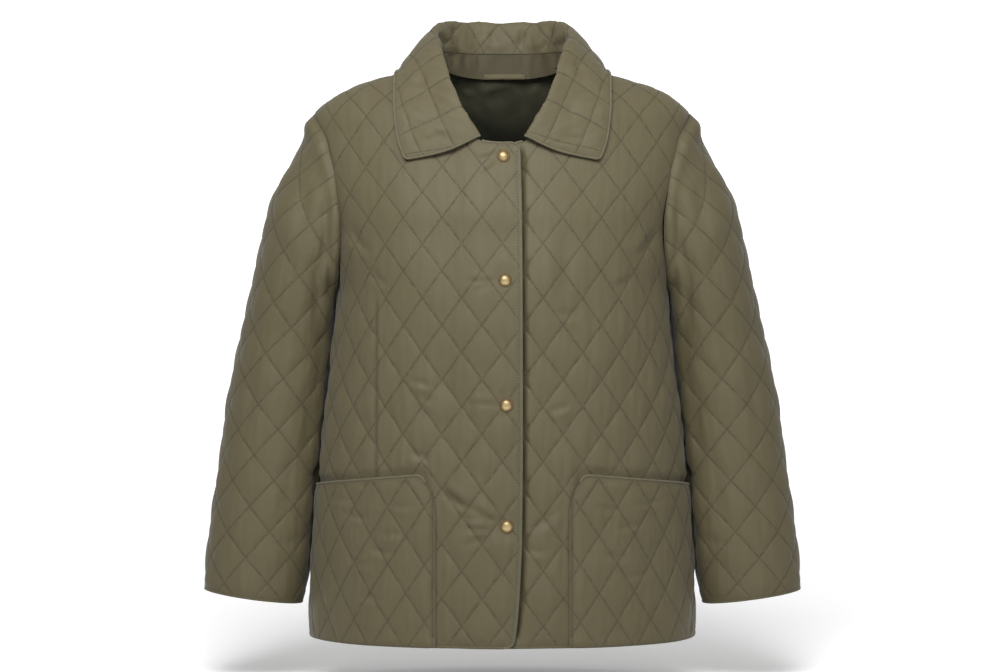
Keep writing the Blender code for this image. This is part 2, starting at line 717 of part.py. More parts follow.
def make_sleeve(name, side, drape):
    """A sleeve, cut as one piece with its seam under the arm."""
    def fields(p):
        return drape.read(p[:, 0], p[:, 1])[2]

    lines = [
        lambda p: fields(p)["reach"] - SLEEVE_HEAD_GAP - UNDERARM_GAP * ramp(p[:, 1], -215.0, -255.0),
        lambda p: drape.around(180.0, p[:, 1]) - p[:, 0] - SEAM_GAP / 2,
        lambda p: p[:, 0] - drape.around(-180.0, p[:, 1]) - SEAM_GAP / 2,
        lambda p: fields(p)["left"] - 2 * EDGE_BEAD - BEAD_GAP,
    ]
    places, faces, inset = cut_piece(SLEEVE_DIAMOND, (-235, 235, -660, -45), lines)
    points, normals, _ = drape.read(places[:, 0], places[:, 1])
    faces = facing_out(points, normals, faces)
    outer = points + normals * quilt_height(places, SLEEVE_DIAMOND, inset)[:, None]
    return wall_object(name, outer, points - normals * WALL, faces, "Quilted shell", side < 0)


# ---------------------------------------------------------------- collar

def neck_point(share):
    """The neck seam on the left half: 0 at the centre back, 1 at the front end of the collar."""
    section = share * (len(COLLAR) - 1)
    shoulder = len(NECK_BACK_X) - 1
    if section < shoulder:
        x = float(smooth_curve(range(shoulder + 1), NECK_BACK_X)(section))
        level = -BACK_NECK_DROP * (1 - (x / NECK_HALF_WIDTH) ** 2)
        depth = float(back_at(level))
    else:
        level = float(smooth_curve(range(shoulder + 1), NECK_FRONT_LEVEL)(section - shoulder))
        power = FRONT_NECK_SQUARENESS
        x = NECK_HALF_WIDTH * (1 - (abs(level) / FRONT_NECK_DROP) ** power) ** (1 / power)
        depth = -float(front_at(level))
    power = float(squareness_at(level))
    y = depth * max(1 - (x / float(half_width_at(level))) ** power, 0.0) ** (1 / power)
    return x, y, level


def collar_drape(first, rows=101, columns=81):
    """The left half of the collar's cloth. The fall goes from the seam over the fold to its edge;
    the stand goes from the neck to that seam."""
    table = np.array(COLLAR, float)
    share = np.linspace(0.0, 1.0, len(table))
    along = smooth_curve(share, table.reshape(len(table), -1))
    shares = np.linspace(0.0, 1.0, rows)
    grid = []
    for at in shares:
        seam, fold, fall, edge = along(np.array(at)).reshape(4, 3)
        if first == "neck":
            neck = np.array(neck_point(at)) + [0, 0, STAND_FOOT]
            line = [seam, neck]
        else:
            line = [seam, fold, fall, edge]
        line = np.array(line)
        knots = np.concatenate([[0.0], np.cumsum(np.linalg.norm(np.diff(line, axis=0), axis=1) ** 0.5)])
        if first == "neck":
            ways = line[0] + (line[1] - line[0]) * np.linspace(0, 1, columns)[:, None]
        else:
            ways = round_curve(knots, line)(np.linspace(0, knots[-1], columns))
        grid.append(ways)
    grid = np.array(grid)
    if first != "neck":
        weight = ramp(np.linspace(0, 1, columns), 0.25, 0.45)[None, :, None]
        grid = grid * (1 - weight) + lift_off(grid) * weight
    lengths = np.linalg.norm(np.diff(grid[:, 0], axis=0), axis=1)
    downs = np.concatenate([[0.0], np.cumsum(lengths)])
    drape = Drape(downs, np.linspace(0.0, 1.0, columns), grid, 0.0)
    outward = drape.normals[1, -10]
    if outward[1] * (1 if first != "neck" else -1) < 0:
        drape.normals = -drape.normals
    return drape


def round_curve(knots, points):
    """A curve through a few points that turns smoothly at each."""
    tangents = np.zeros_like(points)
    for k in range(1, len(points) - 1):
        tangents[k] = (points[k + 1] - points[k - 1]) / (knots[k + 1] - knots[k - 1])
    tangents[0] = 2 * (points[1] - points[0]) / (knots[1] - knots[0]) - tangents[1]
    tangents[-1] = 2 * (points[-1] - points[-2]) / (knots[-1] - knots[-2]) - tangents[-2]

    def value(at):
        k = np.clip(np.searchsorted(knots, at) - 1, 0, len(knots) - 2)
        width = (knots[k + 1] - knots[k])[:, None]
        t = ((at - knots[k]) / width[:, 0])[:, None]
        rise = t * t * (3 - 2 * t)
        return (points[k] * (1 - rise) + points[k + 1] * rise + width * tangents[k] * t * (1 - t) ** 2
                - width * tangents[k + 1] * t * t * (1 - t))

    return value


def lift_off(points):
    """Points of the collar's fall, held clear of the fronts and shoulders beneath."""
    step = np.array([0.0, 0.0, 1.0])
    near_seam = 1.8 * ramp(np.linspace(0, 1, points.shape[1]), 0.7, 0.45)[None, :]
    for _ in range(3):
        level_distance, out = body_distance(points)
        rise = body_distance(points + step)[0] - level_distance
        steep = np.sqrt(1 + rise * rise)
        out = (out + step * rise[..., None]) / steep[..., None]
        room = COLLAR_ROOM + FRONT_LIFT * ramp(np.abs(points[..., 0]), 70.0, 50.0) - near_seam
        points = points + out * np.maximum(room - level_distance / steep, 0.0)[..., None]
    return points


def collar_points(drape, places):
    points, normals, _ = drape.read(places[:, 1], np.abs(places[:, 0]))
    sign = np.stack([np.where(places[:, 0] < 0, -1.0, 1.0), np.ones(len(places)),
                     np.ones(len(places))], axis=1)
    return points * sign, normals * sign


def collar_outline(drape):
    """Inside the fall's outer and front edges, which meet in a rounded corner."""
    end = drape.downs[-1]
    across = np.gradient(drape.points, axis=1)
    across /= np.linalg.norm(across, axis=2, keepdims=True)
    along = np.gradient(drape.points, drape.downs, axis=0)
    square = np.linalg.norm(np.cross(along, across), axis=2)
    slant = square[:, -1] / np.linalg.norm(along[:, -1], axis=1)

    def inside(p):
        around = np.abs(p[:, 0])
        outer = (drape.around(1.0, around) - p[:, 1]) * np.interp(around, drape.downs, slant)
        front = (end - around) * np.interp(p[:, 1], drape.run[-1], square[-1])
        return soft_min(outer, front, COLLAR_CORNER)
    return inside


def make_collar(name, drape):
    """The collar's quilted fall, from the stand's seam over the fold to the bound edge."""
    end = drape.downs[-1]
    bound = collar_outline(drape)
    lines = [lambda p: p[:, 1] - SEAM_GAP - FOLD_GAP * ramp(np.abs(p[:, 0]) / end, 0.5, 0.75),
             lambda p: bound(p) - 2 * SMALL_BEAD - BEAD_GAP]
    places, faces, inset = cut_piece(COLLAR_DIAMOND, (-end - 5, end + 5, -5, 175), lines, parts=2)
    points, normals = collar_points(drape, places)
    faces = facing_out(points, normals, faces)
    outer = points + normals * quilt_height(places, COLLAR_DIAMOND, inset)[:, None]
    return wall_object(name, outer, points - normals * WALL, faces, "Quilted shell")


def make_stand(name, drape):
    """The collar's stand, plain cloth from the neck seam up to the fall."""
    end = drape.downs[-1]
    lines = [lambda p: p[:, 1] - SEAM_GAP,
             lambda p: end - 1.0 - np.abs(p[:, 0]),
             lambda p: drape.around(1.0, np.abs(p[:, 0])) - p[:, 1] - SEAM_GAP]
    grid = (COLLAR_DIAMOND[0], 36.0, 0.0)
    places, faces, _ = cut_piece(grid, (-end - 5, end + 5, -2, 50), lines)
    points, normals = collar_points(drape, places)
    faces = facing_out(points, normals, faces)
    return wall_object(name, points, points - normals * STAND_WALL, faces, "Quilted shell")


def make_loop(name, drape):
    """The hanger loop: a flat strip sewn at its ends just above the neck seam."""
    count = 12
    around = np.linspace(LOOP_FROM, LOOP_TO, count)
    rows = []
    foot = float(drape.around(1.0, np.array([0.0]))[0])
    for height in (foot - 1.0 - LOOP_WIDTH, foot - 1.0):
        places = np.stack([around, np.full(count, height)], axis=1)
        points, normals = collar_points(drape, places)
        stand_off = 0.8 + LOOP_WALL + 2.0 * np.sin(np.linspace(0, math.pi, count))
        rows.append(points + normals * stand_off[:, None])
    rows = np.array(rows)
    mesh = bpy.data.meshes.new(name)
    faces = [(k, k + 1, k + 1 + count, k + count) for k in range(count - 1)]
    mesh.from_pydata([tuple(p) for p in rows.reshape(-1, 3) * MM], [], faces)
    thing = add_object(name, mesh, "Binding")
    wall = thing.modifiers.new("Loop wall", "SOLIDIFY")
    wall.thickness = LOOP_WALL * MM
    wall.offset = 1.0 if mesh.polygons[0].normal.y > 0 else -1.0
    return thing


# ---------------------------------------------------------------- bindings

def make_bead(name, path, radius, closed=False, scales=None):
    """A rolled binding along an edge."""
    curve = bpy.data.curves.new(name, "CURVE")
    curve.dimensions = "3D"
    curve.bevel_depth = radius * MM
    curve.bevel_resolution = 1
    curve.use_fill_caps = not closed
    line = curve.splines.new("POLY")
    line.points.add(len(path) - 1)
    for k, (point, place) in enumerate(zip(line.points, path)):
        point.co = (*(np.asarray(place) * MM), 1.0)
        point.radius = scales[k] if scales is not None else 1.0
    line.use_cyclic_u = closed
    return add_object(name, curve, "Binding")


def level_path(drape, arounds, level, lift):
    """Points of the body at one level, at these distances round."""
    downs = np.full(len(arounds), np.interp(level, drape.points[:, 0, 2], drape.downs))
    points, normals = body_points(drape, np.stack([arounds, downs], axis=1))
    return points + normals * np.asarray(lift)[..., None]


def make_hem(name, front, back):
    """The hem's binding, all round from under the right front to the left one."""
    down = np.array([np.interp(HEM, front.points[:, 0, 2], front.downs)])
    side = float(front.around(90.0, down)[0])
    back_side = float(back.around(90.0, down)[0])
    start = float(front_edge_at(HEM)) - 6.0
    right = np.append(np.linspace(start, 8.0 - side, HEM_STEPS - 1), 1.0 - side)
    left = np.append(np.linspace(20.0, side - 8.0, HEM_STEPS - 1), side - 1.0)[::-1]
    behind = np.linspace(3.0 - back_side, back_side - 3.0, 2 * HEM_STEPS - 8)
    fronts = np.concatenate([right, left])
    lift = front_lift(-1, np.stack([fronts, fronts], axis=1)) * (fronts < start + 1)
    thick = over_pocket(fronts) * ramp(side - np.abs(fronts), 1.0, 7.0)
    lift += thick * POCKET_LIFT / 2 - WALL / 2
    on_front = level_path(front, fronts, HEM + HEM_BEAD, lift)
    on_back = level_path(back, behind, HEM + HEM_BEAD, np.full(len(behind), -WALL / 2))
    path = np.concatenate([on_front[:HEM_STEPS], on_back, on_front[HEM_STEPS:]])
    thick = np.concatenate([thick[:HEM_STEPS], np.zeros(len(behind)), thick[HEM_STEPS:]])
    wide = HEM_BEAD + (HEM_BEAD_AT_POCKET - HEM_BEAD) * thick
    path[:, 2] = HEM + wide
    return make_bead(name, path, HEM_BEAD, scales=wide / HEM_BEAD)


def make_front_edge(name, drape):
    """The binding of the right front: along its neck edge, round the corner and down its edge."""
    inset = EDGE_BEAD
    levels = np.linspace(-FRONT_NECK_DROP - 20, HEM + 2 * HEM_BEAD + 6, 28)
    corner = []
    for k in range(6):
        angle = math.radians(90 - 15 * k - 8)
        corner.append((float(front_edge_at(-120)) - 15 + (15 - inset) * math.cos(angle),
                       -FRONT_NECK_DROP - 16 + (15 - inset) * math.sin(angle)))
    flat = [(x, float(front_neck_level(x)) - inset) for x in np.linspace(-23.4, 2.0, 4)]
    edge = [(float(front_edge_at(z)) - inset, z) for z in levels]
    line = flat + corner + edge
    down = np.interp([z for _, z in line], drape.points[:, 0, 2], drape.downs)
    places = np.stack([[x for x, _ in line], down], axis=1)
    points, normals = body_points(drape, places)
    lift = FRONT_LIFT * ramp(-places[:, 0], FRONT_LIFT_FROM, FRONT_LIFT_TO) - WALL / 2
    return make_bead(name, points + normals * lift[:, None], EDGE_BEAD)


def make_left_neck(name, drape):
    """The short binding of the left front's neck edge, between its collar end and the right front."""
    xs = np.linspace(15.0, 23.0, 3)
    levels = front_neck_level(xs) - SMALL_BEAD
    down = np.interp(levels, drape.points[:, 0, 2], drape.downs)
    points, normals = body_points(drape, np.stack([xs, down], axis=1))
    return make_bead(name, points - normals * WALL / 2, SMALL_BEAD)


def make_pocket_edge(name, side, drape):
    """The binding along a pocket's top and its slanted corner."""
    down = np.interp(POCKET_TOP_OUTER[1], drape.points[:, 0, 2], drape.downs)
    side_at = float(drape.around(90.0, np.array([down]))[0])
    far = np.linspace(side_at - 0.5, POCKET_TOP_INNER[0] + 12, 8)
    near = POCKET_INNER + np.array([22.0, 18.0, 15.0, 12.0, 9.0, 6.0, 2.6])
    arounds = side * np.concatenate([far, near])
    starts = np.stack([arounds, np.full(len(arounds), down - 40.0)], axis=1)
    ends = np.stack([arounds, np.full(len(arounds), down + 40.0)], axis=1)
    places = edge_places(pocket_top(side, drape), starts, ends, SMALL_BEAD)
    points, normals = body_points(drape, places)
    return make_bead(name, points + normals * (POCKET_LIFT - WALL / 2), SMALL_BEAD)


def make_collar_edge(name, drape):
    """The piping along the collar's front edges and outer edge."""
    inside = collar_outline(drape)
    end = drape.downs[-1]
    width = float(drape.around(1.0, np.array([end]))[0])
    rows = np.linspace(14.0, width - 12.0, 7)
    turns = np.radians([15.0, 45.0, 75.0])
    arounds = np.linspace(end - 12.0, 0.0, 24)
    heart = np.array([end - 14.0, width - 14.0])
    starts = [(end - 40.0, v) for v in rows] + [tuple(heart)] * len(turns) + [(u, 60.0) for u in arounds]
    ends = [(end + 5.0, v) for v in rows]
    ends += [tuple(heart + 40.0 * np.array([math.cos(t), math.sin(t)])) for t in turns]
    ends += [(u, float(drape.around(1.0, np.array([u]))[0]) + 5.0) for u in arounds]
    places = edge_places(inside, starts, ends, SMALL_BEAD)
    points, normals = collar_points(drape, places)
    points = points - normals * WALL / 2
    path = np.concatenate([points, points[::-1][1:] * [-1, 1, 1]])
    return make_bead(name, path, SMALL_BEAD)


def make_cuff(name, side, drape, ring_count=24):
    """The binding round a cuff."""
    path = []
    for turn in np.linspace(-180.0, 180.0, ring_count, endpoint=False):
        column_at = np.interp(turn, drape.turns, np.arange(len(drape.turns)))
        k = int(column_at)
        left = drape.extra["left"][:, k]
        row = np.interp(EDGE_BEAD, left, np.arange(len(left)))
        low = int(row)
        point = drape.points[low, k] * (1 - row + low) + drape.points[low + 1, k] * (row - low)
        path.append((point - drape.normals[low, k] * WALL / 2) * [side, 1, 1])
    return make_bead(name, path, EDGE_BEAD, closed=True)


# ---------------------------------------------------------------- snaps

def make_snap(name, front, place):
    """A domed snap cap, standing on the right front where its cloth is pressed flat."""
    x, z = place
    bpy.context.view_layer.update()
    mesh = front.data
    tree = BVHTree.FromPolygons([v.co for v in mesh.vertices], [p.vertices for p in mesh.polygons])
    seats = []
    for k in range(24):
        turn = 2 * math.pi * k / 24
        for share in (0.0, 0.5, 1.0):
            at = Vector((x + share * SNAP_RADIUS * math.cos(turn), -400.0,
                         z + share * SNAP_RADIUS * math.sin(turn))) * MM
            hit, normal, _, _ = tree.ray_cast(at, Vector((0, 1, 0)))
            if hit is not None:
                seats.append((hit, normal))
    centre, normal = seats[0]
    if normal.y > 0:
        normal = -normal
    rise = max((hit - centre).dot(normal) for hit, _ in seats)
    profile = bpy.data.meshes.new(name)
    points = [(r * MM, 0.0, h * MM) for r, h in reversed(SNAP_PROFILE)] + [(0.0, 0.0, 0.0)]
    profile.from_pydata(points, [(k, k + 1) for k in range(len(points) - 1)], [])
    thing = add_object(name, profile, "Brass")
    screw = thing.modifiers.new("Turned cap", "SCREW")
    screw.steps = screw.render_steps = SNAP_SIDES
    screw.use_merge_vertices = True
    screw.merge_threshold = 0.00001
    thing.rotation_euler = normal.to_track_quat("Z", "Y").to_euler()
    thing.location = centre + normal * (rise + SEAM_GAP * MM)
    return thing


def main():
    for thing in list(bpy.data.objects):
        bpy.data.objects.remove(thing, do_unlink=True)
    jacket = bpy.data.collections.new("Quilted jacket")
    bpy.context.scene.collection.children.link(jacket)
    front = body_drape(0)
    back = body_drape(180)
    sleeve = sleeve_drape()
    fall = collar_drape("seam")
    stand = collar_drape("neck")
    right_front = make_front("front_right", -1, front)
    make_front("front_left", 1, front)
    make_back("back", back)
    make_lining("back_lining", back)
    for side, word in ((-1, "right"), (1, "left")):
        make_sleeve("sleeve_" + word, side, sleeve)
        make_pocket("pocket_" + word, side, front)
        make_pocket_edge("pocket_binding_" + word, side, front)
        make_cuff("cuff_binding_" + word, side, sleeve)
    make_collar("collar", fall)
    make_stand("collar_stand", stand)
    make_collar_edge("collar_piping", fall)
    make_loop("hanger_loop", stand)
    make_hem("hem_binding", front, back)
    make_front_edge("front_binding_right", front)
    make_left_neck("neck_binding_left", front)
    for k, place in enumerate(SNAP_PLACES):
        make_snap(f"snap_{k + 1}", right_front, place)


main()
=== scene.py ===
"""Dresses the quilted jacket: fine quilted cloth, creases, stitching, bindings, lining, snaps and stage.

Sizes in the tables are millimetres on the garment or on its flat pattern; meshes are in metres.
+X is the wearer's left, -Y the front and +Z up, as in the frame.
"""
import math
from functools import partial

import bmesh
import bpy
import numpy as np
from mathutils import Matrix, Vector


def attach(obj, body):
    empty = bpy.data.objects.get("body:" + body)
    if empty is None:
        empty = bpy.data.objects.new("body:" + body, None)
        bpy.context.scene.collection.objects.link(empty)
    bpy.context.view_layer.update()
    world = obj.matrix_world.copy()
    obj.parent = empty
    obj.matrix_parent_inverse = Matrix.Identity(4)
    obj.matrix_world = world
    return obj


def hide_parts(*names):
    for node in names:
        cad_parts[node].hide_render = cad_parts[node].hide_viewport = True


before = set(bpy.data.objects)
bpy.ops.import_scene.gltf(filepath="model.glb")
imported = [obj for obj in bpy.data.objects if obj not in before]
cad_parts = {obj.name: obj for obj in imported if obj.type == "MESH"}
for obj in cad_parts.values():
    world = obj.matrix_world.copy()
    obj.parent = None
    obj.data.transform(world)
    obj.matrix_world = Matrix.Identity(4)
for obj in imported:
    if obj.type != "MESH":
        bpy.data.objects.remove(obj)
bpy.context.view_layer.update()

bl_info = {
    "name": "Quilted jacket",
    "version": (1, 0, 0),
    "blender": (4, 5, 0),
    "location": "View3D > Sidebar > Jacket",
    "description": "Makes a diamond-quilted jacket with its bindings, stitching, snaps and lining",
    "category": "Add Mesh",
}

MM = 0.001

# Cloth
WALL = 1.6            # wall under a stitch line
PILLOW = 2.4          # a diamond's middle above its stitch lines
LINING_WALL = 1.0
LINING_GAP = 2.2      # the lining's outer face from the back's inner face
LINING_INSET = 6.0    # the lining's side edges from the side seams
LINING_OVER = 1.2     # its neck edge above the back's
STAND_WALL = 1.6
STAND_FOOT = 1.8      # the stand's lower edge above the neck edge of the panels
SEAM_GAP = 0.3        # between two pieces at a seam
SEAM_OVERLAP = 0.2    # of two panels' cloth where it runs into a seam, so that no light shows through
SEAM_TAPER = 16.0     # the quilting flattens over this distance from an edge

# Quilting: a diamond's width and height, and the place of one crossing on the centre line
BODY_DIAMOND = (46.3, 62.3, -220.7)
SLEEVE_DIAMOND = (53.0, 60.0, -256.0)
POCKET_DIAMOND = (44.0, 65.0, -522.5)
COLLAR_DIAMOND = (46.3, 62.3, -23.1)
PUFF_FLATNESS = 2.2   # how flat a diamond's middle is, and how steeply it rises from its stitches
PUFF_STEEPNESS = 0.72
SWELL = (0.86, 0.28)  # the least puffed diamond's height, as a share, and how much more others have
STREAKS = (0.42, 12.0, 5.0)       # upright streaks: height, spacing and stretch
PUCKERS = (0.34, 9.0)             # puckers along the stitches: height and spacing
EDGE_SHADE = (0.5, 1.4)           # the shade along a piece's edge: how dark and how wide
SHARP_CLOTH = math.radians(60)
COLLAR_SHIFT = -5.0   # the collar's quilting lies this far off its middle
COLLAR_BEND = 227.0   # the collar's flat pattern: its seam bends at this radius
COLLAR_TURN = 46.0    # until it has turned this many degrees, and then runs straight

# Body sections at each level: half width, depth to the front and back, and how square they are
TORSO_COLUMNS = ("level", "half_width", "front", "back", "squareness")
TORSO = (
    (12, 40, 30, 44, 2.0),
    (0, 74, 40, 52, 2.0),
    (-12, 112, 50, 60, 2.0),
    (-22, 151, 58, 66, 2.0),
    (-32, 180, 66, 72, 2.0),
    (-45, 205, 77, 79, 2.0),
    (-61, 223, 90, 87, 2.0),
    (-84, 229, 99, 97, 2.0),
    (-108, 229, 105, 106, 2.1),
    (-134, 225, 112, 114, 2.15),
    (-158, 218, 119, 120, 2.2),
    (-184, 209, 127, 124, 2.2),
    (-212, 203, 131, 125, 2.2),
    (-240, 199, 136, 124, 2.2),
    (-268, 195, 139, 122, 2.2),
    (-300, 198, 140, 121, 2.2),
    (-357, 203, 141, 120, 2.2),
    (-402, 208, 142, 121, 2.2),
    (-468, 214, 143, 123, 2.2),
    (-502, 216, 144, 124, 2.2),
    (-557, 219, 145, 126, 2.2),
    (-607, 222, 146, 127, 2.2),
    (-681, 223, 147, 128, 2.2),
    (-705, 223, 147, 128, 2.2),
)
HEM = -681.0
LEVEL_STEP = 3.0      # spacing of the levels that the body and sleeves are read at
PANEL_REACH = 112     # degrees from a panel's centre line, past the side seam at 90
PANEL_MIDDLE = 50     # its pattern runs straight down this line

# Neck: the high point of the shoulder lies at half this width
NECK_HALF_WIDTH = 74.0
FRONT_NECK_DROP = 103.0
FRONT_NECK_SQUARENESS = 2.4
BACK_NECK_DROP = 12.0

# Armhole: an ellipse as seen from the side
ARMHOLE_CENTRE = -164.5
ARMHOLE_HALF_HEIGHT = 103.5
ARMHOLE_HALF_DEPTH = 62.0

# Sleeve rings, from the armhole to the cuff: their outer and inner points, half depth and middle
SLEEVE_COLUMNS = ("outer_x", "outer_z", "inner_x", "inner_z", "half_depth", "middle_y")
SLEEVE = (
    (223, -61, 195, -268, 62, 0),
    (239, -83, 195, -274, 65, 3),
    (257, -116, 195, -280, 68, 7),
    (275, -162, 195, -287, 70, 12),
    (289, -219, 195, -296, 71, 18),
    (302, -277, 196, -312, 71, 24),
    (313, -325, 198, -345, 69, 28),
    (328, -395, 203, -408, 66, 28),
    (339, -480, 213, -490, 61, 22),
    (349.5, -560, 222, -566, 56, 13),
    (355, -627, 238, -643.5, 51, 4),
)
SLEEVE_TURNS = (-200.0, 200.0, 161)      # degrees round a sleeve, past its seam at 180, and steps
SLEEVE_RINGS = 240     # between the rings above, and a little past the first and last
SLEEVE_PAST = (-0.45, 0.3)
SLEEVE_SET_IN = 3.2    # rings over which it leaves the body's own surface
SLEEVE_LEVELS = (-665.0, -36.0)
SLEEVE_TUBE = 60       # of its lowest levels, where it is a plain tube
SLEEVE_ROOM = 5.4      # sleeve to body, from stitch line to stitch line
SLEEVE_CLEARS = 12.0   # from the armhole, where it has that room all round
BY_POCKET_DEPTH = (14.0, 2.0)            # it clears the pocket too between these depths and levels
BY_POCKET_LEVEL = (-474.0, -490.0)
UNDERARM_GAP = 1.0     # more of it under the arm, where the sleeve and body lie side by side
SLEEVE_SPREAD = 0.38   # how fast it reaches that below the armhole

# Front closure: the right front lies on the left and its edge runs this far past the centre
FRONT_EDGE_COLUMNS = ("level", "past_centre")
FRONT_EDGE = (
    (-90, 20.5),
    (-127, 21.0),
    (-159, 22.0),
    (-303, 23.0),
    (-452, 23.3),
    (-512, 22.8),
    (-573, 21.8),
    (-621, 19.5),
    (-657, 16.5),
    (-690, 11.0),
)
UNDERLAP = 20.0           # the left front's plain edge, past the centre
UNDERLAP_PLAIN = (20.0, 44.0)     # the left front's quilting starts between these distances
FRONT_LIFT = 3.5          # the right front over the left
FRONT_LIFT_FROM = 62.0    # it rises between these distances from the centre
FRONT_LIFT_TO = 24.0
FRONT_CORNER = 13.0       # rounding of its top corner
FRONT_FOOT_CORNER = 8.0
SQUARE_CORNER = 0.5       # the left front's corners are hardly rounded

# Patch pockets, on the pattern: distance from the centre, and level
POCKET_INNER = 75.5
POCKET_TOP_INNER = (91.5, -483.0)
POCKET_TOP_OUTER = (225.0, -495.5)
POCKET_SLANT = (81.0, -504.0)
POCKET_CORNER = 7.0
POCKET_TAPE_END = 88.0    # the tape along its top ends just past the corner
POCKET_SEWN = 3.6         # from its inner edge to the pressed groove that holds it
POCKET_GROOVE = (1.3, 1.3)        # the groove's half width and depth
POCKET_TOPSTITCH = 4.4    # from the tape along its top to the stitching below it
POCKET_LIFT = 5.0
UNDER_POCKET = 0.3        # share of the quilting's height left beneath a pocket
POCKET_FADE = (-14.0, -6.0)   # outside the pocket's outline, where that share is reached

# Collar sections, from the centre back to the front end. Each row places the seam of the stand,
# the fold, the middle of the fall and its edge, each as x, y and z.
COLLAR_COLUMNS = ("seam", "fold", "fall", "edge")
COLLAR = (
    ((0, 64, 16), (0, 72, 55), (0, 87, 24), (0, 89, -15)),
    ((38, 59, 16), (42, 66, 55), (56, 80, 24), (63, 83, -18)),
    ((66, 35, 15), (71, 40, 52), (93, 49, 21), (108, 52, -20)),
    ((75, 0, 10), (80, 5, 38), (104, 4, 18), (124, 0, -12)),
    ((72, -52, -13), (72, -50, 6), (96, -54, -12), (127, -68, -47)),
    ((58, -91.5, -61), (55, -93, -47), (82, -92, -68), (122, -92, -97)),
    ((25.5, -105, -97.5), (27, -110, -97.0), (62, -110, -113), (113, -102, -124)),
)
NECK_BACK_X = (0, 37, 64, 74)                 # where each of those sections meets the neck seam
NECK_FRONT_LEVEL = (0, -25, -72, -99.7)
STAND_HANG = (6.5, 2.5)   # the stand's foot below the neck seam at the centre back, and more beside it
STAND_LEAN = 0.8          # and its lean to the front, as a share of that
FALL_LIFTS = (0.25, 0.45)         # the fall is held clear of the body from these shares of its way on
COLLAR_CORNER = 5.0
FOLD_GAP = 1.0            # more between the fall and the stand, where the fold tightens at the front
COLLAR_ROOM = 6.0         # collar over the body, from its face to the body's stitch lines

# Bindings
EDGE_BEAD = 1.3
HEM_BEAD = 1.5
HEM_BEAD_AT_POCKET = 2.6
SMALL_BEAD = 1.3
BEAD_GAP = -0.4           # the cloth runs this far into its rolled edge
RAY = 40.0                # an edge is looked for along lines of the pattern this long
EDGE_STEPS = (10, 18, 120, 12)    # of the right front's tape: neck edge, corner, down, into the hem
EDGE_LEVELS = (-FRONT_NECK_DROP - 22.0, HEM + 18.0)       # its straight part is between these
EDGE_NECK_START = -23.4   # its neck edge starts beside the collar's end
EDGE_FOOT_TURN = 15.0     # and its foot turns about a point this far inside it
HEM_STEPS = 60            # of the hem on each front, and behind
HEM_BACK_STEPS = 120
CUFF_STEPS = 96
HEM_TUCK = 11.0           # it starts this far under the right front's edge
POCKET_FOOT = 1.2         # a pocket's lower edge above the hem's
POCKET_FOOT_LIFT = 1.1    # it bulges this much over the hem's fold

# Snap fasteners
SNAP_PLACES = ((1.0, -120.0), (3.0, -262.7), (4.5, -404.5), (5.0, -542.0))
SNAP_RADIUS = 7.5
SNAP_PRESS = 22.0         # the quilting is pressed flat out to here
SNAP_INSET = 30.0         # every snap is at least this far from an edge
SNAP_SIDES = 40
SNAP_CAP = ((7.4, 0.0), (7.5, 0.7), (7.3, 1.15), (6.9, 1.35), (6.5, 1.25), (6.2, 1.05), (5.9, 1.15),
            (5.5, 1.7), (4.9, 2.25), (4.0, 2.8), (2.8, 3.25), (1.4, 3.5))     # rings: radius, height
SNAP_CROWN = 3.58
SNAP_BRIGHT = (6.4, 4.6)  # the brass turns from the rim's colour to the crown's between these radii
SHARP_SNAP = math.radians(75)

# Hanger loop, inside the back neck
LOOP_FROM = -23.6
LOOP_TO = 28.5
LOOP_WIDTH = 6.8
LOOP_WALL = 1.0
LOOP_DROP = 0.5           # it hangs this far over the neck seam
LOOP_OFF = 1.4            # its back from the stand, and how much more it bows out in its middle
LOOP_BOW = 2.0
LOOP_EDGE = ((0.0, 0.0), (0.12, 0.8), (0.5, 1.0), (0.88, 0.8), (1.0, 0.0), (0.5, -0.1))
LOOP_STEPS = 48           # along it; LOOP_EDGE goes round it, in shares of its width and wall
LOOP_TACKS = (1.6, 3.0)   # from each of its ends
SHARP_LOOP = math.radians(50)

# Fine cloth
FINE = 10                 # parts to each half diamond in the cloth's mesh
FINE_BACK = 8
FINE_LINING = 6
FINE_SNAP = 0.8           # points this near a cut move onto it
FINE_HEAD_GAP = 0.5       # the sleeve's seam allowance at the armhole

# Boxes of the flat pattern that hold each kind of piece: from and to across, from and to down
PANEL_BOX = (-345, 345, HEM - 5, 60)
FRONT_BOX = 25            # a front reaches this far past the centre
POCKET_BOX = (20, 345, HEM - 5, -440)
SLEEVE_BOX = (-235, 235, -660, -45)
COLLAR_BOX = (-400, 400, -170, 175)

# Stitching
STITCH_PITCH = 3.4
STITCH_LENGTH = 2.6
STITCH_THREAD = 0.42      # half the thread's thickness
TAPE_STEP = 1.6           # along a rolled tape, between its rings
TAPE_SIDES = 12
TAPE_GATHER = 0.25        # how far its surface swells between its stitches
TAPE_GATHERS_APART = 7.0
TOPSTITCH_ROWS = (3.9, 5.6)       # from the right front's edge to its topstitching

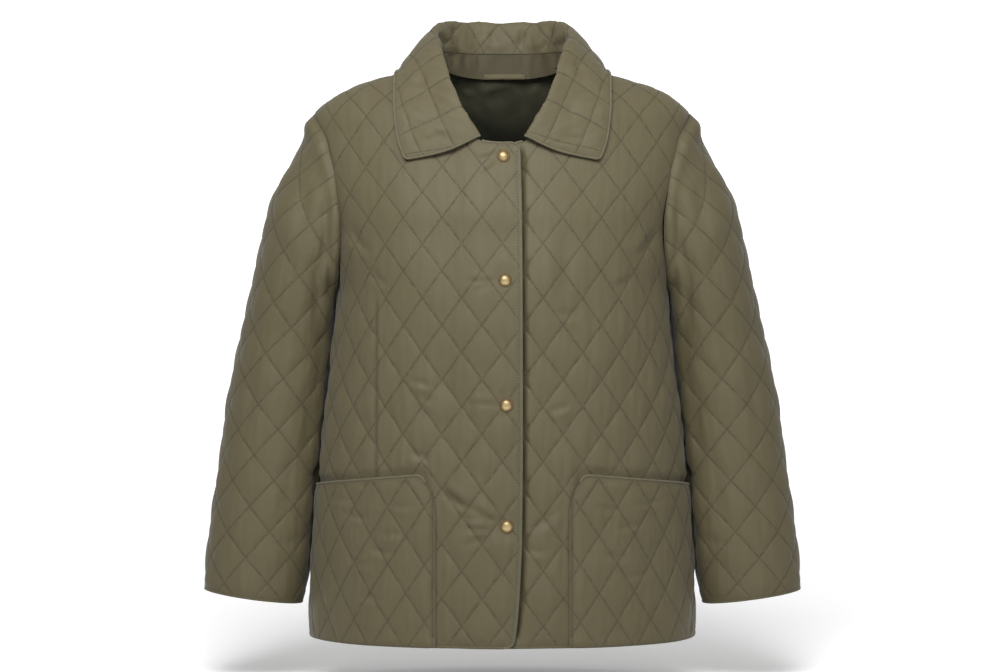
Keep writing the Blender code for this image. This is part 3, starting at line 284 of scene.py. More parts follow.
# Creases, as seen from the front: from x and level to x and level, how far they bow, half width
# and depth. The strength deepens a whole table.
FRONT_CREASE_STRENGTH = 2.0
POCKET_CREASE_STRENGTH = 1.8
COLLAR_CREASE_STRENGTH = 2.2
SLEEVE_CREASE_STRENGTH = 1.15
FRONT_CREASES = (
    (-6, -541, -40, -521, 2, 4.5, 1.5),
    (-36, -523, -72, -496, -3, 5.0, 1.7),
    (-8, -546, -46, -547, 1, 3.2, 0.9),
    (-12, -535, -52, -530, -1, 3.0, 0.7),
    (-16, -556, -48, -566, 2, 4.0, 0.8),
    (-4, -404, -44, -404, 1, 3.0, 0.7),
    (-6, -262, -42, -263, -1, 3.0, 0.7),
    (-10, -268, -34, -276, 1, 3.0, 0.5),
    (-106, -379, -80, -384, -2, 3.6, 1.1),
    (-104, -461, -82, -470, -3, 4.0, 1.2),
    (-92, -392, -74, -402, 2, 3.5, 0.7),
    (-6, -118, -30, -127, 2, 3.5, 0.9),
    (-5, -127, -26, -143, -1, 3.5, 0.8),
    (-8, -110, -34, -110, 2, 4.0, 0.8),
    (14, -126, 30, -140, 1, 3.5, 0.7),
    (52, -410, 78, -403, 2, 4.0, 0.9),
    (62, -300, 88, -306, -2, 4.5, 0.7),
    (28, -548, 66, -520, 3, 5.0, 1.0),
    (24, -566, 54, -571, 2, 4.0, 0.8),
    (-150, -250, -128, -268, 3, 5.0, 0.8),
    (150, -256, 126, -270, -3, 5.0, 0.8),
    (-176, -196, -150, -232, 5, 6.0, 1.2),
    (178, -200, 152, -236, -5, 6.0, 1.2),
    (-60, -330, -64, -410, 3, 9.0, 0.9),
    (70, -200, 66, -300, -4, 10.0, 0.9),
)
BACK_CREASES = (
    (-60, -120, -20, -128, 3, 6.0, 1.2),
    (30, -112, 74, -126, -3, 6.0, 1.2),
    (-172, -196, -140, -240, 6, 7.0, 1.6),
    (170, -200, 140, -236, -6, 7.0, 1.6),
    (-70, -330, -26, -338, 3, 6.0, 1.2),
    (24, -352, 76, -344, -4, 6.0, 1.3),
    (-110, -402, -64, -412, 4, 6.0, 1.1),
    (90, -420, 130, -408, -3, 6.0, 1.1),
    (-20, -470, 26, -476, 3, 6.0, 1.0),
    (-14, -180, -10, -300, 4, 12.0, 1.1),
    (66, -200, 60, -330, -5, 12.0, 1.0),
    (-84, -220, -90, -330, 5, 12.0, 1.0),
)
SLEEVE_FRONT_CREASES = (
    (206, -160, 216, -262, 4, 5.0, 3.6),
    (200, -205, 203, -300, -2, 4.0, 2.8),
    (220, -232, 223, -330, 4, 6.0, 2.4),
    (232, -140, 244, -210, 5, 7.0, 1.4),
    (214, -310, 222, -400, 3, 6.0, 1.8),
    (228, -395, 236, -470, 3, 7.0, 1.4),
    (262, -300, 272, -380, 4, 9.0, 1.0),
    (294, -360, 306, -440, 5, 8.0, 1.0),
    (250, -470, 262, -540, 4, 8.0, 1.2),
    (300, -500, 312, -580, 4, 8.0, 0.9),
    (236, -560, 268, -572, 3, 7.0, 0.9),
    (252, -210, 262, -280, 5, 9.0, 0.9),
)
SLEEVE_BACK_CREASES = (
    (204, -150, 214, -256, 4, 6.0, 3.2),
    (220, -200, 226, -300, 4, 6.0, 2.2),
    (240, -330, 276, -346, 4, 7.0, 1.6),
    (236, -372, 270, -380, -3, 7.0, 1.5),
    (262, -410, 302, -420, 4, 8.0, 1.2),
    (252, -250, 262, -320, 5, 9.0, 1.0),
    (290, -460, 304, -540, 4, 9.0, 1.0),
    (250, -520, 262, -590, 4, 8.0, 1.0),
)
POCKET_CREASES = (
    (-186, -530, -148, -534, 2, 3.4, 1.0),
    (-196, -512, -166, -515, 2, 3.2, 0.8),
    (-140, -556, -112, -552, -2, 3.4, 1.0),
    (-152, -570, -120, -573, 2, 3.4, 0.9),
    (-176, -584, -142, -588, 2, 3.6, 0.8),
    (-128, -520, -98, -517, 2, 3.4, 0.8),
    (-166, -622, -130, -626, 2, 4.0, 0.8),
    (104, -520, 140, -524, 2, 3.4, 0.9),
    (128, -548, 164, -544, -2, 3.4, 1.0),
    (150, -518, 186, -516, 2, 3.2, 0.8),
    (112, -574, 146, -580, 2, 3.6, 0.9),
    (140, -604, 172, -600, -2, 3.8, 0.8),
)
COLLAR_CREASES = (
    (-60, 50, -44, 18, 3, 4.5, 1.8),
    (60, 48, 46, 16, -3, 4.5, 1.8),
    (-76, 36, -64, 22, 2, 4.5, 1.6),
    (78, 34, 66, 20, -2, 4.5, 1.6),
    (84, -4, 100, -18, 3, 5.5, 1.3),
    (-90, -20, -104, -34, -3, 5.5, 1.0),
    (-60, -96, -92, -106, 3, 5.0, 0.9),
    (64, -98, 96, -104, -3, 5.0, 0.9),
    (-12, 44, -6, 26, 2, 4.5, 1.0),
    (24, 46, 18, 24, -2, 4.5, 1.0),
)
STAND_CREASES = (
    (-46, 22, -44, -6, 1, 3.2, 2.0),
    (-29, 20, -28, -4, 0.5, 2.2, 1.0),
    (22, 18, 20, -4, 1, 2.6, 1.2),
    (55, 22, 42, -4, 2, 3.6, 1.4),
    (-63, 20, -58, -8, 1, 4.0, 2.4),
    (64, 18, 66, -8, 1, 4.0, 1.4),
)
LINING_CREASES = (
    (-52, -14, -34, -34, 4, 5.0, 2.2),
    (-20, -16, -8, -60, 5, 6.0, 2.4),
    (14, -18, 22, -74, -6, 7.0, 2.2),
    (46, -14, 38, -52, 5, 6.0, 2.4),
    (-40, -46, 10, -70, 6, 8.0, 2.0),
    (60, -30, 20, -84, 8, 9.0, 2.0),
    (-60, -70, -14, -110, -7, 9.0, 2.2),
    (40, -100, -10, -128, 6, 9.0, 2.0),
    (-90, -200, -60, -330, 8, 14.0, 2.4),
    (60, -180, 84, -320, -8, 14.0, 2.4),
    (-30, -380, -10, -520, 8, 14.0, 2.2),
    (90, -420, 110, -560, -8, 14.0, 2.2),
)

# How the fronts lie on each other and behind the pockets
TAPE_BAND = 4.4           # width of the taped band that shows beside the edge's roll
SINK = 7.0                # the left front sinks this deep beside the right front's edge
SINK_WIDTH = (4.5, 6.0)   # over this distance, and this much further along a stitch line
SINK_TOP = (-106.0, -120.0)       # the sinking starts and ends between these levels
SINK_FOOT = (-677.0, -659.0)
MOUTH_SINK = 1.5          # a front sinks this deep behind its pocket's mouth
MOUTH_DEPTHS = (-9.0, -1.0, 34.0, 12.0)   # from the mouth: it starts and is full, then ends and is full
MOUTH_REACH = (2.0, 14.0)         # from the pocket's inner edge, where it starts and is full
POCKET_PRESS = 2.0        # how much nearer the front a pocket lies along its sewn edge

# The quilting's relief, the darts and the cloth's unevenness
CHEST_RELIEF = 0.42       # share of the quilting's height on the chest, and from the waist down
WAIST_RELIEF = 1.25
RELIEF_LEVELS = (-210.0, -420.0)
SLEEVE_RELIEF = 0.9
COLLAR_RELIEF = 0.7
DART_X = 145.0            # the waist darts: distance from the centre, and levels where they fade
DART_TOP = (-276.0, -302.0)
DART_FOOT = (-500.0, -480.0)
DART_SEAM = (2.0, 2.2)    # the seam's half width and depth
DART_FOLD = (4.4, 2.2)    # the fold's distance from it, and half width
LEFT_DART = 0.12          # how far each is from being pressed flat
RIGHT_DART = 0.8
SWAY = 0.9                # how far the body's cloth swells and sinks between its seams
SWAY_WAVE = (120.0, 2, 1.5)       # the waves of that: spacing, seed and stretch
RIPPLE_WAVES = 14         # that make up an uneven ripple, and how high they reach together
RIPPLE_PEAK = 4.2
CREASE_RIDGE = (0.5, 1.9, 1.3)    # beside a crease, in its depth and widths: height, place, width
CREASE_FADE = 5.0         # creases fade out over this distance from an edge

# Studio, in metres and watts
FLOOR_GLOW = 0.2          # the paper's own light
WORLD_LIGHT = 0.36
COVE_START = 3.0          # behind the jacket, where the paper starts to curve up to the backdrop
COVE_RADIUS = 2.0
JACKET_MIDDLE = (0.0, 0.0, -0.33)
BACKDROP_MIDDLE = (0.0, 4.8, 0.2)
LIGHTS = (
    ("Key softbox", (-0.25, -1.6, 1.05), (1.2, 0.9), 41.0, JACKET_MIDDLE),
    ("Fill softbox", (1.5, -2.2, 0.8), (1.4, 1.4), 9.0, JACKET_MIDDLE),
    ("Top softbox", (0.0, 0.2, 2.4), (2.4, 1.6), 1.5, JACKET_MIDDLE),
    ("Paper softbox", (0.0, -1.6, 1.1), (1.2, 0.8), 43.0, JACKET_MIDDLE),
    ("Backdrop softbox", (0.0, 2.8, 2.2), (6.0, 1.0), 85.0, BACKDROP_MIDDLE),
)
CAMERA_LENS = 93.0
CAMERA_X = 0.0018
CAMERA_LEVEL = -0.326

# ---------------------------------------------------------------- curves and smooth steps

def between(start, end, leaving, arriving, width, t):
    """A smooth curve from start to end over a width, t of the way along, with a slope at each."""
    rise = t * t * (3 - 2 * t)
    return (start * (1 - rise) + end * rise + width * leaving * t * (1 - t) ** 2
            - width * arriving * t * t * (1 - t))


def smooth_curve(xs, ys):
    """A smooth curve through the points, without overshoot, as a function of x."""
    order = np.argsort(xs)
    x = np.asarray(xs, float)[order]
    y = np.asarray(ys, float)[order]
    slopes = np.diff(y, axis=0) / np.diff(x).reshape((-1,) + (1,) * (y.ndim - 1))
    inner = np.where(slopes[:-1] * slopes[1:] > 0, 0.5 * (slopes[:-1] + slopes[1:]), 0.0)
    limit = 3.0 * np.minimum(np.abs(slopes[:-1]), np.abs(slopes[1:]))
    inner = np.clip(inner, -limit, limit)
    tangents = np.concatenate([slopes[:1], inner, slopes[-1:]])

    def value(at):
        at = np.asarray(at, float)
        i = np.clip(np.searchsorted(x, at) - 1, 0, len(x) - 2)
        width = x[i + 1] - x[i]
        t = np.clip((at - x[i]) / width, -0.5, 1.5)
        if y.ndim > 1:
            width = width[..., None]
            t = t[..., None]
        return between(y[i], y[i + 1], tangents[i], tangents[i + 1], width, t)

    return value


def ramp(value, start, end):
    """0 at start and 1 at end, smooth at both."""
    t = np.clip((np.asarray(value, float) - start) / (end - start), 0.0, 1.0)
    return t * t * (3 - 2 * t)


def soft_min(a, b, radius):
    """The smaller of two distances, rounding the corner between them."""
    h = np.clip(0.5 + 0.5 * (b - a) / radius, 0.0, 1.0)
    return b * (1 - h) + a * h - radius * h * (1 - h)


def column(table, columns, name):
    return [row[columns.index(name)] for row in table]


# ---------------------------------------------------------------- the body's form

torso_levels = column(TORSO, TORSO_COLUMNS, "level")
half_width_at = smooth_curve(torso_levels, column(TORSO, TORSO_COLUMNS, "half_width"))
front_at = smooth_curve(torso_levels, column(TORSO, TORSO_COLUMNS, "front"))
back_at = smooth_curve(torso_levels, column(TORSO, TORSO_COLUMNS, "back"))
squareness_at = smooth_curve(torso_levels, column(TORSO, TORSO_COLUMNS, "squareness"))
front_edge_at = smooth_curve(column(FRONT_EDGE, FRONT_EDGE_COLUMNS, "level"),
                             column(FRONT_EDGE, FRONT_EDGE_COLUMNS, "past_centre"))


def torso_point(turn, level):
    """The body's surface: turn is 0 at the centre front, 90 at the side and 180 at the back."""
    power = 2.0 / squareness_at(level)
    angle = np.radians(turn)
    across = np.sign(np.sin(angle)) * np.abs(np.sin(angle)) ** power
    forward = np.sign(np.cos(angle)) * np.abs(np.cos(angle)) ** power
    depth = np.where(forward > 0, front_at(level), back_at(level))
    x = half_width_at(level) * across
    return np.stack([x, -depth * forward, level + 0.0 * x], axis=-1)


def torso_x(y, level):
    """Half the body's width at a depth and level."""
    depth = np.where(y < 0, front_at(level), back_at(level))
    power = squareness_at(level)
    share = np.clip(np.abs(y) / depth, 0.0, 0.999)
    return half_width_at(level) * (1 - share ** power) ** (1 / power)


def body_distance(points):
    """Level distance outside the body's surface, with the direction that leaves it."""
    x, y, level = points[..., 0], points[..., 1], points[..., 2]
    level = np.clip(level, HEM - 20, 8)
    depth = np.where(y < 0, front_at(level), back_at(level))
    power = squareness_at(level)
    u = np.abs(x) / half_width_at(level)
    v = np.abs(y) / depth
    reach = np.maximum(u ** power + v ** power, 1e-6) ** (1 / power)
    slope_x = np.sign(x) * u ** (power - 1) / half_width_at(level)
    slope_y = np.sign(y) * v ** (power - 1) / depth
    steep = np.maximum(np.hypot(slope_x, slope_y), 1e-9)
    out = np.stack([slope_x / steep, slope_y / steep, np.zeros_like(steep)], axis=-1)
    scale = steep / np.maximum(reach, 1e-6) ** (power - 1)
    return (reach - 1) / scale, out


def keep_clear(points, room):
    """Moves points level outwards until they are this far outside the body."""
    blend = 3.0
    distance, out = body_distance(points)
    short = room - distance
    push = np.where(short > -8 * blend, 0.5 * (short + np.sqrt(short * short + blend * blend)), 0.0)
    points = points + out * push[..., None]
    distance, out = body_distance(points)
    return points + out * np.maximum(room - distance, 0.0)[..., None]


# ---------------------------------------------------------------- surfaces read by their pattern

class Drape:
    """A curved surface that a flat pattern lies on: distance round it, and distance down it."""

    def __init__(self, downs, turns, points, zero_turn, extra=None):
        self.downs = np.asarray(downs, float)
        self.turns = np.asarray(turns, float)
        self.points = points
        steps = np.linalg.norm(np.diff(points, axis=1), axis=2)
        run = np.concatenate([np.zeros((len(points), 1)), np.cumsum(steps, axis=1)], axis=1)
        zero = np.array([np.interp(zero_turn, self.turns, row) for row in run])
        self.run = run - zero[:, None]
        along = np.gradient(points, axis=1)
        down = np.gradient(points, axis=0)
        normals = np.cross(down, along)
        length = np.linalg.norm(normals, axis=2, keepdims=True)
        self.normals = normals / np.maximum(length, 1e-9)
        self.extra = extra or {}

    def down_at(self, level):
        """The distance down the pattern's middle line to a level."""
        return np.interp(level, self.points[:, 0, 2], self.downs)

    def rows(self, down):
        place = np.interp(down, self.downs, np.arange(len(self.downs)))
        low = np.clip(place.astype(int), 0, len(self.downs) - 2)
        return low, place - low

    def around(self, turn, down):
        """The pattern distance round to a turn, at a distance down."""
        low, share = self.rows(down)
        side = np.array([np.interp(turn, self.turns, row) for row in self.run])
        return side[low] * (1 - share) + side[low + 1] * share

    def read(self, around, down):
        """Points, normals and the extra fields at places on the pattern."""
        low, share = self.rows(down)
        run = self.run[low] * (1 - share[:, None]) + self.run[low + 1] * share[:, None]
        col = np.clip((run < around[:, None]).sum(axis=1) - 1, 0, len(self.turns) - 2)
        each = np.arange(len(around))
        span = np.maximum(run[each, col + 1] - run[each, col], 1e-9)
        part = np.clip((around - run[each, col]) / span, 0.0, 1.0)

        def blend(grid):
            extra_axes = (1,) * (grid.ndim - 2)
            s = share.reshape((-1,) + extra_axes)
            p = part.reshape((-1,) + extra_axes)
            top = grid[low, col] * (1 - p) + grid[low, col + 1] * p
            foot = grid[low + 1, col] * (1 - p) + grid[low + 1, col + 1] * p
            return top * (1 - s) + foot * s

        normals = blend(self.normals)
        normals = normals / np.maximum(np.linalg.norm(normals, axis=1, keepdims=True), 1e-9)
        fields = {name: blend(grid) for name, grid in self.extra.items()}
        return blend(self.points), normals, fields


def body_drape(centre_turn):
    """The front (0) or back (180) of the body; its pattern runs down the middle of the panel."""
    levels = np.arange(TORSO[-1][0], TORSO[0][0] + 1, LEVEL_STEP, dtype=float)
    reach = np.linspace(0.0, PANEL_REACH, PANEL_REACH + 1)
    turns = reach if centre_turn == 0 else 180.0 - reach
    points = torso_point(turns[None, :], levels[:, None])
    middle = points[:, PANEL_MIDDLE]
    length = np.concatenate([[0.0], np.cumsum(np.linalg.norm(np.diff(middle, axis=0), axis=1))])
    downs = length - np.interp(BODY_DIAMOND[2], levels, length) + BODY_DIAMOND[2]
    drape = Drape(downs, reach, points, 0.0)
    facing = np.sign((drape.normals * (points - [0, 0, 1] * points)).sum(axis=2))
    drape.normals = drape.normals * np.sign(facing.mean())
    return drape


def sleeve_drape():
    """The left sleeve: turn is 0 at the outermost line, 90 at the front and 180 inside the arm."""
    ring = np.arange(len(SLEEVE), dtype=float)
    columns = {name: smooth_curve(ring, column(SLEEVE, SLEEVE_COLUMNS, name))
               for name in SLEEVE_COLUMNS}
    turns = np.linspace(*SLEEVE_TURNS)
    rings = np.linspace(SLEEVE_PAST[0], ring[-1] + SLEEVE_PAST[1], SLEEVE_RINGS)
    at = {name: curve(rings)[None, :] for name, curve in columns.items()}
    angle = np.radians(turns)[:, None]
    cos, sin = np.cos(angle), np.sin(angle)
    z = 0.5 * (at["outer_z"] + at["inner_z"]) + 0.5 * (at["outer_z"] - at["inner_z"]) * cos
    y = at["middle_y"] - at["half_depth"] * sin
    x = 0.5 * (at["outer_x"] + at["inner_x"]) + 0.5 * (at["outer_x"] - at["inner_x"]) * cos
    on_body = torso_x(y, z)
    set_in = ramp(rings, 0.0, SLEEVE_SET_IN)[None, :]
    x = on_body * (1 - set_in) + x * set_in
    points = np.stack([x, y, z], axis=-1)
    length = np.concatenate([np.zeros((len(turns), 1)),
                             np.cumsum(np.linalg.norm(np.diff(points, axis=1), axis=2), axis=1)], axis=1)
    start = np.array([np.interp(0.0, rings, row) for row in length])[:, None]
    end = np.array([np.interp(ring[-1], rings, row) for row in length])[:, None]
    levels = np.arange(*SLEEVE_LEVELS, LEVEL_STEP)
    grid = np.zeros((len(levels), len(turns), 3))
    reach = np.zeros((len(levels), len(turns)))
    left = np.zeros((len(levels), len(turns)))
    for i in range(len(turns)):
        down = -z[i]
        for axis in range(3):
            grid[:, i, axis] = np.interp(-levels, down, points[i, :, axis])
        reach[:, i] = np.interp(-levels, down, (length - start)[i])
        left[:, i] = np.interp(-levels, down, (end - length)[i])
    room = np.minimum(SLEEVE_ROOM, SLEEVE_SPREAD * np.maximum(reach, 0.0))
    pocket = ramp(grid[..., 1], *BY_POCKET_DEPTH) * ramp(grid[..., 2], *BY_POCKET_LEVEL)
    cleared = keep_clear(grid, room + POCKET_LIFT * pocket)
    weight = ramp(reach, 0.0, SLEEVE_CLEARS)[..., None]
    grid = grid * (1 - weight) + cleared * weight
    drape = Drape(levels, turns, grid, 0.0, {"reach": reach, "left": left})
    middle = grid.mean(axis=1, keepdims=True)
    facing = np.sign((drape.normals * (grid - middle)).sum(axis=2))
    drape.normals = drape.normals * np.sign(facing[:SLEEVE_TUBE].mean())
    return drape


# ---------------------------------------------------------------- cutting the cloth

def diamond_lattice(diamond, box, parts=FINE):
    """Triangles along the stitch lines over a box of the pattern, with parts to each half diamond."""
    width, height, start = diamond
    left, right, low, high = box
    i0, i1 = math.floor(left / (width / 2)), math.ceil(right / (width / 2))
    j0, j1 = math.floor((low - start) / (height / 2)), math.ceil((high - start) / (height / 2))
    columns = (i1 - i0) * parts + 1
    rows = (j1 - j0) * parts + 1
    i = np.tile(np.arange(columns), rows)
    j = np.repeat(np.arange(rows), columns)
    places = np.stack([(i0 + i / parts) * width / 2, start + (j0 + j / parts) * height / 2], axis=1)
    a = (np.arange(rows - 1)[:, None] * columns + np.arange(columns - 1)[None, :]).ravel()
    b, c, d = a + 1, a + 1 + columns, a + columns
    cell = (i[a] // parts + i0 + j[a] // parts + j0) % 2 == 0
    first = np.where(cell[:, None], np.stack([a, b, c], axis=1), np.stack([a, b, d], axis=1))
    second = np.where(cell[:, None], np.stack([a, c, d], axis=1), np.stack([b, c, d], axis=1))
    return places, np.concatenate([first, second])


def diamond_axes(diamond, places):
    """Places counted in diamonds along the two directions of the stitching."""
    width, height, start = diamond
    i = places[:, 0] / (width / 2)
    j = (places[:, 1] - start) / (height / 2)
    return (i + j) / 2, (i - j) / 2


def puff(diamond, places):
    """Height of the wadding: 0 on the stitches, a steep rise beside them and 1 in the middle."""
    p, q = diamond_axes(diamond, places)
    a = 2 * np.abs(p - np.floor(p) - 0.5)
    b = 2 * np.abs(q - np.floor(q) - 0.5)
    return np.maximum((1 - a ** PUFF_FLATNESS) * (1 - b ** PUFF_FLATNESS), 0.0) ** PUFF_STEEPNESS


def scatter(values, seed):
    """A number from 0 to 1 for each whole number, the same each run."""
    mixed = np.sin(values * 12.9898 + seed * 78.233) * 43758.5453
    return mixed - np.floor(mixed)


def ripple(places, wave, seed, stretch=1.0):
    """Soft uneven waves about this far apart, longer down the cloth by the stretch; from -1 to 1."""
    random = np.random.default_rng(seed)
    total = np.zeros(len(places))
    for _ in range(RIPPLE_WAVES):
        turn = random.uniform(0, 2 * math.pi)
        pace = 2 * math.pi / wave * random.uniform(0.6, 1.6)
        across, down = math.cos(turn), math.sin(turn) / stretch
        total += np.sin(pace * (across * places[:, 0] + down * places[:, 1]) + random.uniform(0, 6.28))
    return total / RIPPLE_PEAK


def creases(points, facing, table):
    """Depth of the creases at points, on the side that faces them: a trough with a ridge beside it."""
    total = np.zeros(len(points))
    high, place, broad = CREASE_RIDGE
    for x0, z0, x1, z1, bow, width, depth in table:
        way = np.array([x1 - x0, z1 - z0], float)
        length = np.linalg.norm(way)
        way /= length
        offset = points[:, [0, 2]] - [x0, z0]
        along = (offset @ way) / length
        aside = offset[:, 0] * way[1] - offset[:, 1] * way[0]
        aside = aside - bow * (1 - (2 * along - 1) ** 2)
        fade = ramp(along, -0.08, 0.3) * ramp(along, 1.08, 0.6)
        ridge = high * np.exp(-((aside - place * width) / (broad * width)) ** 2)
        total -= depth * fade * (np.exp(-(aside / width) ** 2) - ridge)
    return total * facing


def cut(places, faces, locked, inside, snap):
    """Cuts the flat cloth where inside() falls below zero, moving near points onto the line."""
    value = inside(places)
    near = (np.abs(value) < snap) & ~locked
    if near.any():
        here = places[near]
        step = 0.05
        for _ in range(4):
            g = inside(here)
            gu = (inside(here + [step, 0]) - inside(here - [step, 0])) / (2 * step)
            gv = (inside(here + [0, step]) - inside(here - [0, step])) / (2 * step)
            size = np.maximum(gu * gu + gv * gv, 0.05)
            here = here - np.stack([g * gu / size, g * gv / size], axis=1)
        places[near] = here
        value = inside(places)
        value[near & (np.abs(value) < 0.02)] = 0.0
    locked = locked | (value == 0.0)
    corner = value[faces]
    whole = (corner >= 0).all(axis=1) & (corner > 0).any(axis=1)
    mixed = ~whole & (corner > 0).any(axis=1)
    crossings = {}
    kept, dropped, out = [], [], []
    for face in faces[mixed].tolist():
        ring = []
        for k, v in enumerate(face):
            w = face[(k + 1) % len(face)]
            if value[v] >= 0:
                ring.append(v)
            if value[v] * value[w] < 0:
                edge = (min(v, w), max(v, w))
                if edge not in crossings:
                    crossings[edge] = len(places) + len(kept)
                    kept.append(v if value[v] > 0 else w)
                    dropped.append(w if value[v] > 0 else v)
                ring.append(crossings[edge])
        out += [(ring[0], ring[k], ring[k + 1]) for k in range(1, len(ring) - 1)]
    if kept:
        keep, drop = places[kept].copy(), places[dropped].copy()
        for _ in range(24):
            middle = (keep + drop) / 2
            ok = inside(middle) >= 0
            keep[ok] = middle[ok]
            drop[~ok] = middle[~ok]
        places = np.concatenate([places, keep])
        locked = np.concatenate([locked, np.ones(len(keep), bool)])
    faces = faces[whole]
    if out:
        faces = np.concatenate([faces, np.array(out)])
    return places, faces, locked


def cut_piece(diamond, box, lines, parts=FINE, snap=FINE_SNAP):
    """The piece of a pattern inside every line, each a function of places on the pattern."""
    places, faces = diamond_lattice(diamond, box, parts)
    locked = np.zeros(len(places), bool)
    for line in lines:
        places, faces, locked = cut(places, faces, locked, line, snap)
        used = np.unique(faces)
        index = np.zeros(len(places), int)
        index[used] = np.arange(len(used))
        places, locked, faces = places[used], locked[used], index[faces]
    inset = np.min([line(places) for line in lines], axis=0)
    return places, faces, np.maximum(inset, 0.0)


def facing_out(points, normals, faces):
    """The faces turned so that they face the way their normals do."""
    a, b, c = (points[faces[:, k]] for k in range(3))
    if (np.cross(b - a, c - a) * normals[faces[:, 0]]).sum() < 0:
        return faces[:, ::-1]
    return faces


def cloth_mesh(name, outer, inner, faces, places, materials, marks=None, mirror=False):
    """A cloth wall: outer and inner faces and a rim, with the flat pattern as its UV map.
    marks are named numbers kept at each point for the materials."""
    if mirror:
        outer, inner, faces = outer * [-1, 1, 1], inner * [-1, 1, 1], faces[:, ::-1]
    count = len(outer)
    starts = faces.ravel()
    ends = np.roll(faces, -1, axis=1).ravel()
    paired = set(zip(ends.tolist(), starts.tolist()))
    rim = [edge for edge in zip(starts.tolist(), ends.tolist()) if edge not in paired]
    walls = []
    for a, b in rim:
        walls += [(b, a, a + count), (b, a + count, b + count)]
    all_faces = np.concatenate([faces, faces[:, ::-1] + count, np.array(walls)])
    mesh = bpy.data.meshes.new(name)
    mesh.from_pydata(np.concatenate([outer, inner]) * MM, [], all_faces.tolist())
    slots = np.zeros(len(all_faces), int)
    slots[len(faces):2 * len(faces)] = len(materials) - 1
    for material in materials:
        mesh.materials.append(material)
    mesh.polygons.foreach_set("material_index", slots)
    flat = np.concatenate([places, places]) * MM
    uv = mesh.uv_layers.new(name="Pattern")
    uv.data.foreach_set("uv", flat[all_faces.ravel()].ravel().astype(np.float32))
    for mark, values in (marks or {}).items():
        field = mesh.attributes.new(mark, "FLOAT", "POINT")
        field.data.foreach_set("value", np.concatenate([values, values]).astype(np.float32))
    mesh.shade_smooth()
    mesh.set_sharp_from_angle(angle=SHARP_CLOTH)
    return mesh


def add_piece(name, mesh, nodes=()):
    """Links a finished mesh as a piece on the jacket's one body."""
    piece = bpy.data.objects.new(name, mesh)
    bpy.context.scene.collection.objects.link(piece)
    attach(piece, "root")
    if nodes:
        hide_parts(*nodes)
    return piece


# ---------------------------------------------------------------- seam lines

def body_points(drape, places):
    """Points and normals of the body; a place's first number is signed, plus to the left."""
    points, normals, _ = drape.read(np.abs(places[:, 0]), places[:, 1])
    sign = np.where(places[:, 0] < 0, -1.0, 1.0)[:, None] * [1, 0, 0] + [0, 1, 1]
    points, normals = points * sign, normals * sign
    return points + normals * (SWAY * ripple(places, *SWAY_WAVE))[:, None], normals


def side_seam(drape):
    """Inside the side and shoulder seams, which both lie on the line halfway round."""
    return lambda p: drape.around(90.0, p[:, 1]) - np.abs(p[:, 0]) + SEAM_OVERLAP / 2


def armhole(drape):
    def inside(p):
        points, _ = body_points(drape, p)
        up = (points[:, 2] - ARMHOLE_CENTRE) / ARMHOLE_HALF_HEIGHT
        deep = points[:, 1] / ARMHOLE_HALF_DEPTH
        reach = np.maximum(np.hypot(up, deep), 1e-6)
        slope = np.hypot(up / ARMHOLE_HALF_HEIGHT, deep / ARMHOLE_HALF_DEPTH) / reach
        side = np.where(np.abs(points[:, 0]) < 100, 400.0, 0.0)
        return (reach - 1) / slope - SEAM_GAP / 2 + side
    return inside


def front_neck_level(x):
    """The front neck edge's level at a distance from the centre."""
    power = FRONT_NECK_SQUARENESS
    return -FRONT_NECK_DROP * np.maximum(1 - (np.abs(x) / NECK_HALF_WIDTH) ** power, 0.0) ** (1 / power)


def front_neck(drape, gap):
    def inside(p):
        points, _ = body_points(drape, p)
        power = FRONT_NECK_SQUARENESS
        across = np.abs(points[:, 0]) / NECK_HALF_WIDTH
        down = np.abs(points[:, 2]) / FRONT_NECK_DROP
        reach = np.maximum(across ** power + down ** power, 1e-6) ** (1 / power)
        slope = np.hypot(across ** (power - 1) / NECK_HALF_WIDTH, down ** (power - 1) / FRONT_NECK_DROP)
        bound = gap * ramp(np.abs(points[:, 0]), 30.0, 24.0)
        return (reach - 1) * reach ** (power - 1) / np.maximum(slope, 1e-6) - SEAM_GAP / 2 - bound
    return inside


def back_neck(drape, gap):
    def inside(p):
        points, _ = body_points(drape, p)
        curve = 1 - np.minimum(np.abs(points[:, 0]) / NECK_HALF_WIDTH, 1.0) ** 2
        return -BACK_NECK_DROP * curve - points[:, 2] - gap
    return inside


def over_pocket(around):
    """1 where a pocket lies on the front, 0 towards the centre, at distances from the centre."""
    return ramp(np.abs(around), POCKET_INNER + 1, POCKET_INNER + 10)


def hem_bead(around):
    """The hem binding's radius on the fronts: it is thicker where it also holds a pocket."""
    return HEM_BEAD + (HEM_BEAD_AT_POCKET - HEM_BEAD) * over_pocket(around)


def hem_line(drape, with_pocket=False, gap=BEAD_GAP):
    def inside(p):
        points, _ = body_points(drape, p)
        radius = hem_bead(p[:, 0]) if with_pocket else HEM_BEAD
        return points[:, 2] - (HEM + 2 * radius + gap)
    return inside


def pocket_top(side, drape):
    """Inside the pocket's top edge and its slanted corner."""
    x0, z0 = POCKET_TOP_INNER
    x1, z1 = POCKET_TOP_OUTER
    xs, zs = POCKET_SLANT

    def inside(p):
        points, _ = body_points(drape, p)
        around, level = side * p[:, 0], points[:, 2]
        top = z0 + (z1 - z0) * (around - x0) / (x1 - x0) - level
        run = math.hypot(x0 - xs, z0 - zs)
        slant = ((around - xs) * (z0 - zs) - (level - zs) * (x0 - xs)) / run
        return soft_min(top, slant, POCKET_CORNER)
    return inside


